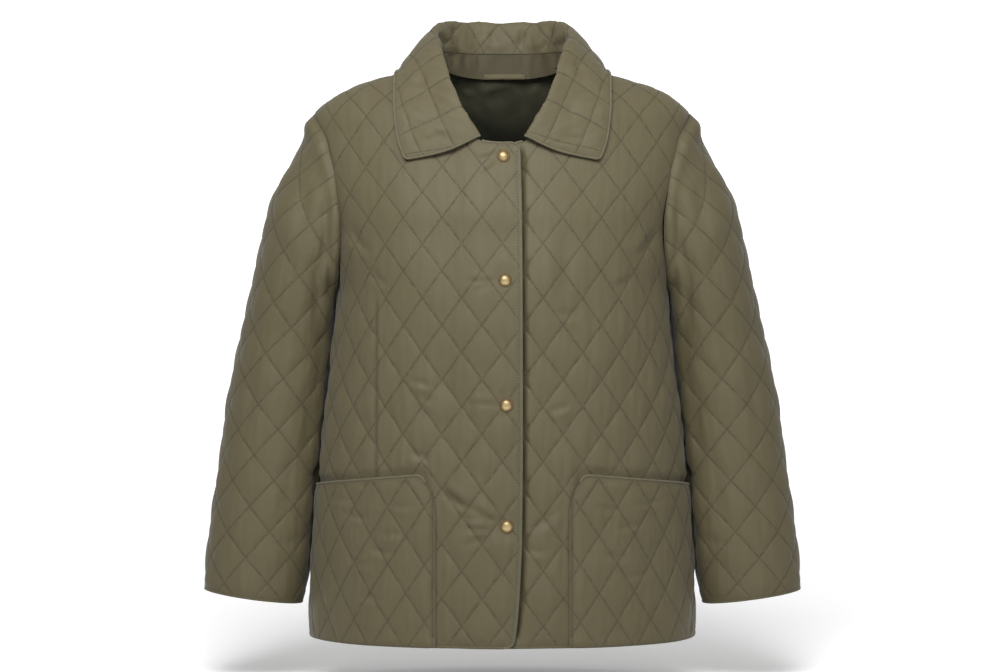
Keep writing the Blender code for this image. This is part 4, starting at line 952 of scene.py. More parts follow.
def pocket_outline(side, drape):
    """Inside the pocket's cloth, which stops short of the binding along its top."""
    top = pocket_top(side, drape)
    bead = 2 * SMALL_BEAD + BEAD_GAP

    def inside(p):
        around = side * p[:, 0]
        taped = bead * ramp(around, POCKET_TAPE_END - 3.0, POCKET_TAPE_END + 1.0)
        return soft_min(top(p) - taped, around - POCKET_INNER, POCKET_CORNER)
    return inside


def edge_places(inside, starts, ends, inset):
    """Places between pairs of starts and ends that lie this far inside a line."""
    keep, drop = np.array(starts, float), np.array(ends, float)
    for _ in range(30):
        middle = (keep + drop) / 2
        ok = inside(middle) >= inset
        keep[ok] = middle[ok]
        drop[~ok] = middle[~ok]
    return keep


def front_lift(side, places):
    """How far the right front rises over the left near the centre."""
    if side > 0:
        return np.zeros(len(places))
    return FRONT_LIFT * ramp(side * places[:, 0], FRONT_LIFT_FROM, FRONT_LIFT_TO)


# ---------------------------------------------------------------- collar

def neck_point(share):
    """The neck seam on the left half: 0 at the centre back, 1 at the front end of the collar."""
    section = share * (len(COLLAR) - 1)
    shoulder = len(NECK_BACK_X) - 1
    if section < shoulder:
        x = float(smooth_curve(range(shoulder + 1), NECK_BACK_X)(section))
        level = -BACK_NECK_DROP * (1 - (x / NECK_HALF_WIDTH) ** 2)
        depth = float(back_at(level))
    else:
        level = float(smooth_curve(range(shoulder + 1), NECK_FRONT_LEVEL)(section - shoulder))
        power = FRONT_NECK_SQUARENESS
        x = NECK_HALF_WIDTH * (1 - (abs(level) / FRONT_NECK_DROP) ** power) ** (1 / power)
        depth = -float(front_at(level))
    power = float(squareness_at(level))
    y = depth * max(1 - (x / float(half_width_at(level))) ** power, 0.0) ** (1 / power)
    return x, y, level


def collar_drape(first, rows=101, columns=81):
    """The left half of the collar's cloth. The fall goes from the seam over the fold to its edge;
    the stand goes from the neck to that seam."""
    table = np.array(COLLAR, float)
    along = smooth_curve(np.linspace(0.0, 1.0, len(table)), table.reshape(len(table), -1))
    across = np.linspace(0.0, 1.0, columns)
    grid = []
    for share in np.linspace(0.0, 1.0, rows):
        line = along(np.array(share)).reshape(len(COLLAR_COLUMNS), 3)
        if first == "neck":
            hang = (STAND_HANG[0] + STAND_HANG[1] * ramp(share, 0.05, 0.3)) * ramp(share, 0.6, 0.42)
            neck = np.array(neck_point(share)) + [0, -STAND_LEAN * hang, STAND_FOOT - hang]
            grid.append(line[0] + (neck - line[0]) * across[:, None])
        else:
            steps = np.linalg.norm(np.diff(line, axis=0), axis=1) ** 0.5
            knots = np.concatenate([[0.0], np.cumsum(steps)])
            grid.append(round_curve(knots, line)(np.linspace(0, knots[-1], columns)))
    grid = np.array(grid)
    if first != "neck":
        weight = ramp(across, *FALL_LIFTS)[None, :, None]
        grid = grid * (1 - weight) + lift_off(grid) * weight
    lengths = np.linalg.norm(np.diff(grid[:, 0], axis=0), axis=1)
    downs = np.concatenate([[0.0], np.cumsum(lengths)])
    drape = Drape(downs, across, grid, 0.0)
    outward = drape.normals[1, -10]
    if outward[1] * (1 if first != "neck" else -1) < 0:
        drape.normals = -drape.normals
    return drape


def round_curve(knots, points):
    """A curve through a few points that turns smoothly at each."""
    tangents = np.zeros_like(points)
    for k in range(1, len(points) - 1):
        tangents[k] = (points[k + 1] - points[k - 1]) / (knots[k + 1] - knots[k - 1])
    tangents[0] = 2 * (points[1] - points[0]) / (knots[1] - knots[0]) - tangents[1]
    tangents[-1] = 2 * (points[-1] - points[-2]) / (knots[-1] - knots[-2]) - tangents[-2]

    def value(at):
        k = np.clip(np.searchsorted(knots, at) - 1, 0, len(knots) - 2)
        width = (knots[k + 1] - knots[k])[:, None]
        t = ((at - knots[k]) / width[:, 0])[:, None]
        return between(points[k], points[k + 1], tangents[k], tangents[k + 1], width, t)

    return value


def lift_off(points):
    """Points of the collar's fall, held clear of the fronts and shoulders beneath."""
    step = np.array([0.0, 0.0, 1.0])
    near_seam = 1.8 * ramp(np.linspace(0, 1, points.shape[1]), 0.7, 0.45)[None, :]
    for _ in range(3):
        level_distance, out = body_distance(points)
        rise = body_distance(points + step)[0] - level_distance
        steep = np.sqrt(1 + rise * rise)
        out = (out + step * rise[..., None]) / steep[..., None]
        room = COLLAR_ROOM + FRONT_LIFT * ramp(np.abs(points[..., 0]), 70.0, 50.0) - near_seam
        points = points + out * np.maximum(room - level_distance / steep, 0.0)[..., None]
    return points


def collar_points(drape, places):
    points, normals, _ = drape.read(places[:, 1], np.abs(places[:, 0]))
    sign = np.stack([np.where(places[:, 0] < 0, -1.0, 1.0), np.ones(len(places)),
                     np.ones(len(places))], axis=1)
    return points * sign, normals * sign


def unbend(places):
    """Places on the collar's curved flat pattern as distances round the neck and over the fold."""
    x, y = np.abs(places[:, 0] + COLLAR_SHIFT), places[:, 1] + COLLAR_BEND
    turn = np.minimum(np.arctan2(x, y), math.radians(COLLAR_TURN))
    around = COLLAR_BEND * turn + x * np.cos(turn) - y * np.sin(turn)
    down = x * np.sin(turn) + y * np.cos(turn) - COLLAR_BEND
    return np.stack([np.sign(places[:, 0] + COLLAR_SHIFT) * around, down], axis=1)


def collar_outline(drape):
    """Inside the fall's outer and front edges, which meet in a rounded corner."""
    end = drape.downs[-1]
    across = np.gradient(drape.points, axis=1)
    across /= np.linalg.norm(across, axis=2, keepdims=True)
    along = np.gradient(drape.points, drape.downs, axis=0)
    square = np.linalg.norm(np.cross(along, across), axis=2)
    slant = square[:, -1] / np.linalg.norm(along[:, -1], axis=1)

    def inside(p):
        around = np.abs(p[:, 0])
        outer = (drape.around(1.0, around) - p[:, 1]) * np.interp(around, drape.downs, slant)
        front = (end - around) * np.interp(p[:, 1], drape.run[-1], square[-1])
        return soft_min(outer, front, COLLAR_CORNER)
    return inside


# ---------------------------------------------------------------- materials

def hex_colour(text):
    """An sRGB hex colour as linear red, green, blue and alpha."""
    values = [int(text.lstrip("#")[k:k + 2], 16) / 255 for k in (0, 2, 4)]
    linear = [v / 12.92 if v <= 0.04045 else ((v + 0.055) / 1.055) ** 2.4 for v in values]
    return (*linear, 1.0)


def fill_node(node, links, settings):
    """Sets a node's values and links its inputs. links pairs an input with the node or socket that
    feeds it, and a setting that names an input, or i and its number, sets that input's value."""
    for key, value in settings.items():
        if key in node.bl_rna.properties:
            setattr(node, key, value)
        else:
            node.inputs[int(key[1:]) if key[0] == "i" and key[1:].isdigit() else key].default_value = value
    for key, source in links.items():
        socket = source.outputs[0] if isinstance(source, bpy.types.Node) else source
        node.id_data.links.new(socket, node.inputs[key])
    return node


def add_node(tree, kind, links=None, **settings):
    """Adds a node of this kind to a tree."""
    return fill_node(tree.nodes.new(kind), links or {}, settings)


def new_material(name):
    """A new material, its shader, and the function that adds nodes to it."""
    material = bpy.data.materials.new(name)
    material.use_nodes = True
    tree = material.node_tree
    return material, tree.nodes["Principled BSDF"], partial(add_node, tree)


def made_once(store, name, make, *options):
    """The material or node tree of this name, made the first time that a piece asks for it."""
    if name not in store:
        make(name, *options)
    return store[name]


def stitch_distance(add, uv, diamond):
    """Millimetres from the nearest line of quilting, worked out on the flat pattern."""
    width, height, start = diamond
    split = add("ShaderNodeSeparateXYZ", {"Vector": uv})
    i = add("ShaderNodeMath", {0: split.outputs["X"]}, operation="DIVIDE", i1=width / 2 * MM)
    from_start = add("ShaderNodeMath", {0: split.outputs["Y"]}, operation="SUBTRACT", i1=start * MM)
    j = add("ShaderNodeMath", {0: from_start}, operation="DIVIDE", i1=height / 2 * MM)
    gaps = []
    for operation in ("ADD", "SUBTRACT"):
        both = add("ShaderNodeMath", {0: i, 1: j}, operation=operation)
        gaps.append(add("ShaderNodeMath", {0: both}, operation="PINGPONG", i1=1.0))
    least = add("ShaderNodeMath", {0: gaps[0], 1: gaps[1]}, operation="MINIMUM")
    across = width * height / 2 / math.hypot(width / 2, height / 2) / 2
    return add("ShaderNodeMath", {0: least}, operation="MULTIPLY", i1=across)


def quilted_polyester(name, diamond):
    """Woven polyester over wadding: a fine even weave with a low soft gloss. The stitching pulls
    it into small puckers, and the pull of the wadding leaves faint upright streaks. Shade is
    painted into the colour along the thread, at seams and edges, and in the streaks' hollows."""
    _, shader, add = new_material(name)
    colours = bpy.context.scene.jacket_colours
    uv = add("ShaderNodeUVMap", uv_map="Pattern")
    gap = stitch_distance(add, uv, diamond)
    upright = add("ShaderNodeMapping", {"Vector": uv}, Scale=(1.0, 0.14, 1.0))
    streak = add("ShaderNodeTexNoise", {"Vector": upright}, Scale=105.0, Detail=3.0, Roughness=0.55)
    cloud = add("ShaderNodeTexNoise", {"Vector": uv}, Scale=16.0, Detail=3.0)
    # The colour follows the upright streaks: partly the cloth's own uneven tone, and partly painted shade,
    # darker in their hollows.
    base = add("ShaderNodeMix", {"Factor": streak}, data_type="RGBA", i6=hex_colour(colours.shell_low),
               i7=hex_colour(colours.shell_high))
    warm = add("ShaderNodeMapRange", {"Value": cloud}, i1=0.35, i2=0.65, i3=0.0, i4=0.5)
    tone = add("ShaderNodeMix", {"Factor": warm, 6: base.outputs[2]}, data_type="RGBA",
               i7=hex_colour(colours.shell_warm))
    # Painted shade along the stitch lines: darkest at the thread, and broken up unevenly by noise.
    line = add("ShaderNodeMapRange", {"Value": gap}, i1=0.2, i2=2.3, i3=0.95, i4=0.0,
               interpolation_type="SMOOTHSTEP")
    wear_and_shade = add("ShaderNodeTexNoise", {"Vector": uv}, Scale=130.0, Detail=2.0)
    depth = add("ShaderNodeMapRange", {"Value": wear_and_shade}, i1=0.32, i2=0.68, i3=0.08, i4=0.6)
    stitch_shade = add("ShaderNodeMath", {0: line, 1: depth}, operation="MULTIPLY")
    # The seam mark is painted shade: in seams, pressed grooves and gaps, and along each piece's edge.
    seam = add("ShaderNodeAttribute", attribute_name="seam")
    painted_shade = add("ShaderNodeMath", {0: stitch_shade, 1: seam.outputs["Fac"]}, operation="MAXIMUM")
    lined = add("ShaderNodeMix", {"Factor": painted_shade, 6: tone.outputs[2]}, data_type="RGBA",
                i7=hex_colour(colours.painted_shade))
    band = add("ShaderNodeAttribute", attribute_name="band")
    taped = add("ShaderNodeMix", {"Factor": band.outputs["Fac"], 6: lined.outputs[2]}, data_type="RGBA",
                i7=hex_colour(colours.tape))

    # The weave is drawn at 1 mm, about four threads wide, the finest that still shows.
    weave = add("ShaderNodeTexNoise", {"Vector": uv}, Scale=1000.0, Detail=1.0)
    pucker = add("ShaderNodeTexNoise", {"Vector": uv}, Scale=190.0, Detail=2.0)
    near = add("ShaderNodeMapRange", {"Value": gap}, i1=0.8, i2=9.0, i3=1.0, i4=0.12,
               interpolation_type="SMOOTHSTEP")
    pulled = add("ShaderNodeMath", {0: pucker, 1: near}, operation="MULTIPLY")
    ribs = add("ShaderNodeMath", {0: streak, 1: pulled}, operation="ADD")
    soft = add("ShaderNodeBump", {"Height": ribs}, Strength=0.55, Distance=0.0011)
    fine = add("ShaderNodeBump", {"Height": weave, "Normal": soft}, Strength=0.25, Distance=0.00012)
    rough = add("ShaderNodeMapRange", {"Value": cloud}, i3=0.56, i4=0.7)
    fill_node(shader, {"Base Color": taped.outputs[2], "Normal": fine, "Roughness": rough},
              {"IOR": 1.5, "Specular IOR Level": 0.32, "Sheen Weight": 0.12, "Sheen Roughness": 0.4})


def plain_cloth(name, low, high, rough, wave, height, sheen, painted_light_mix=None):
    """Plain woven cloth, sewn flat: the same yarn with no wadding, so only soft uneven creases
    and a faint change of colour show. An optional function sets the mix of its two colours; the
    lining's paints light into it, lighter near the neck."""
    _, shader, add = new_material(name)
    place = add("ShaderNodeTexCoord").outputs["Object"]
    cloud = add("ShaderNodeTexNoise", {"Vector": place}, Scale=wave, Detail=3.0)
    weave = add("ShaderNodeTexNoise", {"Vector": place}, Scale=900.0, Detail=1.0)
    base = add("ShaderNodeMix", {"Factor": painted_light_mix(add, place, cloud) if painted_light_mix else cloud},
               data_type="RGBA", i6=hex_colour(low), i7=hex_colour(high))
    soft = add("ShaderNodeBump", {"Height": cloud}, Strength=0.5, Distance=height)
    fine = add("ShaderNodeBump", {"Height": weave, "Normal": soft}, Strength=0.25, Distance=0.00012)
    fill_node(shader, {"Base Color": base.outputs[2], "Normal": fine},
              {"Roughness": rough, "Specular IOR Level": 0.2, "Sheen Weight": sheen})


def painted_light_at_neck(add, place, cloud):
    """Painted light on the lining: how far it is mixed lighter, most at the neck where light reaches in,
    and a little unevenly everywhere as the cloth's own tone.
    """
    level = add("ShaderNodeSeparateXYZ", {"Vector": place}).outputs["Z"]
    near_neck = add("ShaderNodeMapRange", {"Value": level}, i1=-0.09, i2=-0.02, i3=0.0, i4=0.75)
    uneven = add("ShaderNodeMapRange", {"Value": cloud}, i1=0.3, i2=0.7, i3=0.0, i4=0.08)
    return add("ShaderNodeMath", {0: near_neck, 1: uneven}, operation="ADD", use_clamp=True)


def aged_brass(name):
    """Pressed brass with an antique finish: a warm soft metal, browner and duller down its rim
    where the polish doesn't reach, with fine uneven tarnish."""
    _, shader, add = new_material(name)
    colours = bpy.context.scene.jacket_colours
    place = add("ShaderNodeTexCoord").outputs["Object"]
    crown = add("ShaderNodeAttribute", attribute_name="crown")
    spots = add("ShaderNodeTexNoise", {"Vector": place}, Scale=420.0, Detail=3.0)
    spot = add("ShaderNodeMapRange", {"Value": spots}, i1=0.3, i2=0.7, i3=-0.15, i4=0.15)
    wear_and_shade = add("ShaderNodeMath", {0: crown.outputs["Fac"], 1: spot}, operation="ADD", use_clamp=True)
    colour = add("ShaderNodeMix", {"Factor": wear_and_shade}, data_type="RGBA", i6=hex_colour(colours.brass_rim),
                 i7=hex_colour(colours.brass))
    rough = add("ShaderNodeMapRange", {"Value": wear_and_shade}, i3=0.6, i4=0.48)
    tarnish = add("ShaderNodeBump", {"Height": spots}, Strength=0.2, Distance=0.0002)
    fill_node(shader, {"Base Color": colour.outputs[2], "Normal": tarnish, "Roughness": rough},
              {"Metallic": 1.0})


def seamless_paper(name, colour):
    """Matt studio paper with a glow of its own. It shows on its lit side alone, so that it hides
    nothing from behind or below."""
    material, shader, add = new_material(name)
    fill_node(shader, {}, {"Base Color": hex_colour(colour), "Roughness": 0.9, "Specular IOR Level": 0.1,
                           "Emission Color": (1.0, 1.0, 1.0, 1.0), "Emission Strength": FLOOR_GLOW})
    side = add("ShaderNodeNewGeometry").outputs["Backfacing"]
    sheet = add("ShaderNodeMixShader", {0: side, 1: shader, 2: add("ShaderNodeBsdfTransparent")})
    fill_node(material.node_tree.get_output_node("CYCLES"), {"Surface": sheet}, {})
    return material


def cloth_material(name, low, high, *options):
    """A plain cloth of two of the jacket's colours."""
    colours = bpy.context.scene.jacket_colours
    return made_once(bpy.data.materials, name, plain_cloth, getattr(colours, low), getattr(colours, high),
                     *options)


def shell_material(diamond, word):
    return made_once(bpy.data.materials, f"Quilted polyester, {word}", quilted_polyester, diamond)


def lining_material():
    """Smooth acetate lining: finer and a little glossier than the shell, with soft creases."""
    # Painted light: the lining is mixed lighter near the neck.
    return cloth_material("Acetate lining", "lining", "lining_painted_light", 0.5, 28.0, 0.004, 0.05, painted_light_at_neck)


def tape_material():
    """Folded polyester tape: closer woven than the shell, so a little paler and greyer."""
    return cloth_material("Polyester tape", "tape_low", "tape_high", 0.6, 160.0, 0.0008, 0.2)


def plain_shell_material():
    """The shell's cloth without wadding."""
    return cloth_material("Plain polyester", "shell_low", "shell_high", 0.62, 42.0, 0.003, 0.12)


def inside_material():
    """The same cloth inside the collar, in darker colours: painted shade, for want of light there."""
    return cloth_material("Plain polyester, inside", "painted_shade", "inside", 0.62, 42.0, 0.003, 0.1)


def thread_material():
    """Spun polyester thread, a shade darker than the cloth it sews."""
    return cloth_material("Polyester thread", "thread", "shell_low", 0.6, 300.0, 0.0002, 0.1)


# ---------------------------------------------------------------- stitching and tapes by Geometry Nodes

def new_tree(name, lengths):
    """A tree that takes lines, these lengths in millimetres and a material, with the lines made
    into evenly divided curves. Gives its inputs, the curves, and the function that adds a node."""
    tree = bpy.data.node_groups.new(name, "GeometryNodeTree")
    tree.interface.new_socket("Geometry", in_out="INPUT", socket_type="NodeSocketGeometry")
    for label, value in lengths.items():
        socket = tree.interface.new_socket(label, in_out="INPUT", socket_type="NodeSocketFloat")
        socket.default_value = value * MM
    tree.interface.new_socket("Material", in_out="INPUT", socket_type="NodeSocketMaterial")
    tree.interface.new_socket("Geometry", in_out="OUTPUT", socket_type="NodeSocketGeometry")
    add = partial(add_node, tree)
    given = add("NodeGroupInput").outputs
    curve = add("GeometryNodeMeshToCurve", {0: given["Geometry"]})
    even = add("GeometryNodeResampleCurve", {"Curve": curve, "Length": given["Step"]}, mode="LENGTH")
    return given, even, add


def finish_tree(given, shape, add):
    """Gives a tree's shape its material, and sends it out."""
    finish = add("GeometryNodeSetMaterial", {0: shape, "Material": given["Material"]})
    add("NodeGroupOutput", {0: finish})


def stitch_tree(name):
    """Stitches laid end to end along lines of sewing."""
    given, even, add = new_tree(name, {"Step": STITCH_PITCH, "Length": STITCH_LENGTH,
                                       "Thread": STITCH_THREAD})
    tangent = add("GeometryNodeInputTangent")
    turn = add("FunctionNodeAlignRotationToVector", {"Vector": tangent}, axis="Z")
    bead = add("GeometryNodeMeshUVSphere", Segments=4, Rings=2, Radius=1.0)
    half = add("ShaderNodeMath", {0: given["Length"]}, operation="MULTIPLY", i1=0.5)
    size = add("ShaderNodeCombineXYZ", {"X": given["Thread"], "Y": given["Thread"], "Z": half})
    place = add("GeometryNodeInstanceOnPoints", {"Points": even, "Instance": bead, "Rotation": turn,
                                                 "Scale": size})
    finish_tree(given, add("GeometryNodeRealizeInstances", {0: place}), add)


def tape_tree(name):
    """A rolled tape along a path, gathered a little between its stitches."""
    given, even, add = new_tree(name, {"Step": TAPE_STEP, "Gather": TAPE_GATHER,
                                       "Gathers apart": TAPE_GATHERS_APART})
    thick = add("GeometryNodeInputNamedAttribute", data_type="FLOAT", Name="thickness").outputs["Attribute"]
    radius = add("GeometryNodeSetCurveRadius", {"Curve": even, "Radius": thick})
    round_edge = add("GeometryNodeCurvePrimitiveCircle", Resolution=TAPE_SIDES, Radius=1.0)
    sweep = add("GeometryNodeCurveToMesh", {"Curve": radius, "Profile Curve": round_edge,
                                            "Scale": thick}, **{"Fill Caps": True})
    pace = add("ShaderNodeMath", {1: given["Gathers apart"]}, operation="DIVIDE", i0=1.0)
    where = add("GeometryNodeInputPosition")
    noise = add("ShaderNodeTexNoise", {"Vector": where, "Scale": pace}, Detail=1.0)
    middle = add("ShaderNodeMath", {0: noise}, operation="SUBTRACT", i1=0.5)
    lift = add("ShaderNodeMath", {0: middle, 1: given["Gather"]}, operation="MULTIPLY")
    normal = add("GeometryNodeInputNormal")
    push = add("ShaderNodeVectorMath", {0: normal, "Scale": lift}, operation="SCALE")
    finish_tree(given, add("GeometryNodeSetPosition", {"Geometry": sweep, "Offset": push}), add)


def made_by_nodes(name, lines, tree, values, closed=False, thickness=None):
    """The plain mesh that a node tree makes of lines of points in millimetres."""
    points = np.concatenate(lines) * MM
    edges = []
    start = 0
    for line in lines:
        edges += [(k, k + 1) for k in range(start, start + len(line) - 1)]
        if closed:
            edges.append((start + len(line) - 1, start))
        start += len(line)
    guide = bpy.data.meshes.new(name + " guide")
    guide.from_pydata(points, edges, [])
    if thickness is not None:
        field = guide.attributes.new("thickness", "FLOAT", "POINT")
        field.data.foreach_set("value", (thickness * MM).astype(np.float32))
    holder = bpy.data.objects.new(name + " guide", guide)
    bpy.context.scene.collection.objects.link(holder)
    modifier = holder.modifiers.new(tree.name, "NODES")
    modifier.node_group = tree
    for item in tree.interface.items_tree:
        if item.item_type == "SOCKET" and item.in_out == "INPUT" and item.name in values:
            modifier[item.identifier] = values[item.name]
    graph = bpy.context.evaluated_depsgraph_get()
    mesh = bpy.data.meshes.new_from_object(holder.evaluated_get(graph))
    mesh.name = name
    bpy.data.objects.remove(holder)
    mesh.shade_smooth()
    return mesh


def sew(name, lines):
    """Stitches along lines of points in millimetres, as one piece."""
    lines = [line for line in lines if len(line) > 2]
    tree = made_once(bpy.data.node_groups, "Stitches", stitch_tree)
    return add_piece(name, made_by_nodes(name, lines, tree, {"Material": thread_material()}))


def roll_tape(name, path, thickness, closed=False, gather=TAPE_GATHER, material=None):
    """A rolled tape along one path, standing for the node of its name."""
    tree = made_once(bpy.data.node_groups, "Rolled tape", tape_tree)
    values = {"Material": material or tape_material(), "Gather": gather * MM}
    mesh = made_by_nodes(name, [path], tree, values, closed, np.broadcast_to(thickness, len(path)))
    return add_piece("taped_" + name, mesh, (name,))


def quilting_runs(diamond, box, inside, margin=1.0, step=2.4):
    """Lines of quilting on the flat pattern, as runs of places that lie inside a piece."""
    width, height, start = diamond
    left, right, low, high = box
    corners = np.array([(u, v) for u in (left, right) for v in (low, high)], float)
    runs = []
    for sign in (1, -1):
        sums = corners[:, 0] / (width / 2) + sign * (corners[:, 1] - start) / (height / 2)
        for k in range(math.ceil(sums.min() / 2), math.floor(sums.max() / 2) + 1):
            u = np.arange(left, right, step * width / math.hypot(width, height))
            v = start + sign * (2 * k - u / (width / 2)) * (height / 2)
            places = np.stack([u, v], axis=1)
            places = places[(v > low) & (v < high)]
            if len(places) < 2:
                continue
            ok = inside(places) > margin
            ends = np.flatnonzero(np.diff(np.concatenate([[0], ok.astype(int), [0]])))
            runs += [places[a:b] for a, b in zip(ends[::2], ends[1::2]) if b - a > 2]
    return runs


# ---------------------------------------------------------------- quilted pieces

def quilt_relief(diamond, places, inset, seed):
    """Height of the outer cloth over its stitch lines: the wadding, uneven from one diamond to the
    next, with upright streaks inside the diamonds and puckers along the stitches."""
    p, q = diamond_axes(diamond, places)
    swell = SWELL[0] + SWELL[1] * scatter(np.floor(p) * 57 + np.floor(q) * 131, seed)
    soft = puff(diamond, places)
    high = bpy.context.scene.jacket_sizes.puff / MM
    streak = STREAKS[0] * ripple(places, STREAKS[1], seed, STREAKS[2]) * soft
    pucker = PUCKERS[0] * ripple(places, PUCKERS[1], seed + 7) * (1 - soft) ** 2 * np.minimum(soft * 6, 1)
    return (high * soft * swell + streak + pucker) * ramp(inset, 0.0, 0.7 * SEAM_TAPER)


def sides(normals):
    """How far each point faces the front and the back, from 0 to 1."""
    return ramp(-normals[:, 1], 0.02, 0.3), ramp(normals[:, 1], 0.02, 0.3)


def thread_line(surface, places, inset):
    """Where a thread lies along places on a piece, at a distance from its edge."""
    points, normals, height = surface(places, np.broadcast_to(inset, len(places)))
    return points + normals * (height + STITCH_THREAD / 2)[:, None]


def make_quilted(name, node, diamond, box, lines, surface, mirror=False, marks=None, word="body",
                 parts=FINE):
    """Cuts a quilted piece, lays it on its surface, and sews its quilting lines."""
    def inside(places):
        return np.min([line(places) for line in lines], axis=0)

    places, faces, inset = cut_piece(diamond, box, lines, parts)
    points, normals, height = surface(places, inset)
    faces = facing_out(points, normals, faces)
    outer = points + normals * height[:, None]
    inner = points - normals * WALL
    # The seam mark is painted shade, in seams and grooves and along every edge; the band mark is the taped
    # band's own colour.
    seam, band = marks(places) if marks else (0.0, np.zeros(len(places)))
    seam = np.maximum(seam, EDGE_SHADE[0] * np.exp(-inset / EDGE_SHADE[1]))
    mesh = cloth_mesh(name, outer, inner, faces, places, [shell_material(diamond, word), lining_material()],
                      {"seam": seam, "band": band}, mirror)
    piece = add_piece(name, mesh, (node,))
    side = [-1, 1, 1] if mirror else [1, 1, 1]
    sew(name + "_stitches", [thread_line(surface, run, np.maximum(inside(run), 0.0)) * side
                             for run in quilting_runs(diamond, box, inside)])


def dart(points):
    """The waist dart on each front, a sewn fold that ends at the pocket: its height, and how near
    a point is to its seam."""
    aside = np.abs(points[:, 0]) - DART_X
    fade = ramp(points[:, 2], *DART_TOP) * ramp(points[:, 2], *DART_FOOT)
    fade *= np.where(points[:, 0] > 0, LEFT_DART, RIGHT_DART)
    seam = fade * np.exp(-(aside / DART_SEAM[0]) ** 2)
    return fade * np.exp(-((aside + DART_FOLD[0]) / DART_FOLD[1]) ** 2) - DART_SEAM[1] * seam, seam


def front_lines(side, drape):
    """The cutting lines of a front, and its bound edge alone."""
    bead = 2 * EDGE_BEAD + BEAD_GAP

    def edge(p):
        points, _ = body_points(drape, p)
        if side > 0:
            return side * p[:, 0] + UNDERLAP
        return side * p[:, 0] + front_edge_at(points[:, 2]) - bead

    neck = front_neck(drape, bead)
    hem = hem_line(drape, with_pocket=True)

    def bound_edge(p):
        top = soft_min(edge(p), neck(p), FRONT_CORNER if side < 0 else SQUARE_CORNER)
        return soft_min(top, hem(p), FRONT_FOOT_CORNER if side < 0 else SQUARE_CORNER)

    return [armhole(drape), bound_edge, side_seam(drape)], bound_edge, edge


def front_surface(side, drape):
    """The front's cloth: points on its stitch lines, normals, and the height of its outside."""
    def surface(places, inset):
        points, normals = body_points(drape, places)
        points = points + normals * front_lift(side, places)[:, None]
        lively = CHEST_RELIEF + (WAIST_RELIEF - CHEST_RELIEF) * ramp(points[:, 2], *RELIEF_LEVELS)
        height = lively * quilt_relief(BODY_DIAMOND, places, inset, 3)
        height *= 1 - ramp(pocket_outline(side, drape)(places), *POCKET_FADE) * (1 - UNDER_POCKET)
        mouth = pocket_top(side, drape)(places)
        sink = MOUTH_SINK * ramp(mouth, *MOUTH_DEPTHS[:2]) * ramp(mouth, *MOUTH_DEPTHS[2:])
        sink *= ramp(side * places[:, 0] - POCKET_INNER, *MOUTH_REACH)
        if side > 0:
            height *= ramp(places[:, 0], *UNDERLAP_PLAIN)
            beside = places[:, 0] - front_edge_at(points[:, 2]) - 1.0
            reach = SINK_WIDTH[0] + SINK_WIDTH[1] * (1 - puff(BODY_DIAMOND, places)) ** 2
            gap = SINK * (1 - ramp(beside / reach, 0.0, 1.0))
            sink += gap * ramp(points[:, 2], *SINK_TOP) * ramp(points[:, 2], *SINK_FOOT)
        for snap_x, snap_z in SNAP_PLACES:
            reach = np.hypot(points[:, 0] - snap_x, points[:, 2] - snap_z)
            height *= ramp(reach, SNAP_RADIUS, SNAP_PRESS)
        fade = ramp(inset, 0.0, CREASE_FADE)
        fold = creases(points, FRONT_CREASE_STRENGTH * fade, FRONT_CREASES) + dart(points)[0] * fade - sink
        return points + normals * fold[:, None], normals, height
    return surface


def make_front(word, side, drape):
    lines, _, edge = front_lines(side, drape)
    box = (-PANEL_BOX[1], FRONT_BOX, *PANEL_BOX[2:]) if side < 0 else (-FRONT_BOX, *PANEL_BOX[1:])
    surface = front_surface(side, drape)

    def marks(places):
        points, _ = body_points(drape, places)
        # The marks paint shade: in the dart's seam, and on the left front a painted shadow beside the right
        # front's edge.
        seam = 0.6 * dart(points)[1]
        if side < 0:
            return seam, ramp(edge(places), TAPE_BAND + 0.8, TAPE_BAND)
        beside = places[:, 0] - front_edge_at(points[:, 2])
        under = 0.5 * ramp(beside, 5.0, 0.0) * ramp(points[:, 2], -112.0, -130.0)
        return np.maximum(seam, under), np.zeros(len(places))

    make_quilted("quilted_front_" + word, "front_" + word, BODY_DIAMOND, box, lines, surface, marks=marks)
    return surface


def make_back(drape):
    lines = [armhole(drape), back_neck(drape, SEAM_GAP), hem_line(drape), side_seam(drape)]

    def surface(places, inset):
        points, normals = body_points(drape, places)
        fold = creases(points, ramp(inset, 0.0, 6.0), BACK_CREASES)
        return points + normals * fold[:, None], normals, quilt_relief(BODY_DIAMOND, places, inset, 5)

    make_quilted("quilted_back", "back", BODY_DIAMOND, PANEL_BOX, lines, surface, parts=FINE_BACK)


def make_lining(drape):
    """The back lining: thin smooth cloth that hangs a little loose inside the back."""
    lines = [lambda p: drape.around(90.0, p[:, 1]) - np.abs(p[:, 0]) - LINING_INSET / 2,
             lambda p: armhole(drape)(p) - 1.0, back_neck(drape, -LINING_OVER), hem_line(drape, gap=10.0)]
    places, faces, inset = cut_piece(BODY_DIAMOND, PANEL_BOX, lines, FINE_LINING)
    points, normals = body_points(drape, places)
    faces = facing_out(points, normals, faces)
    neck_edge = back_neck(drape, 0.0)(places)
    loose = ramp(neck_edge, 0.0, 16.0)
    fold = creases(points, loose, LINING_CREASES) + 1.3 * loose * ripple(places, 46.0, 11, 1.5)
    depth = WALL + 0.5 + (LINING_GAP - 0.5) * loose + np.maximum(-fold, -1.4)
    outer = points - normals * depth[:, None]
    inner = points - normals * (depth + 0.5)[:, None]
    mesh = cloth_mesh("acetate_back_lining", outer, inner, faces, places, [lining_material()])
    piece = add_piece("acetate_back_lining", mesh, ("back_lining",))


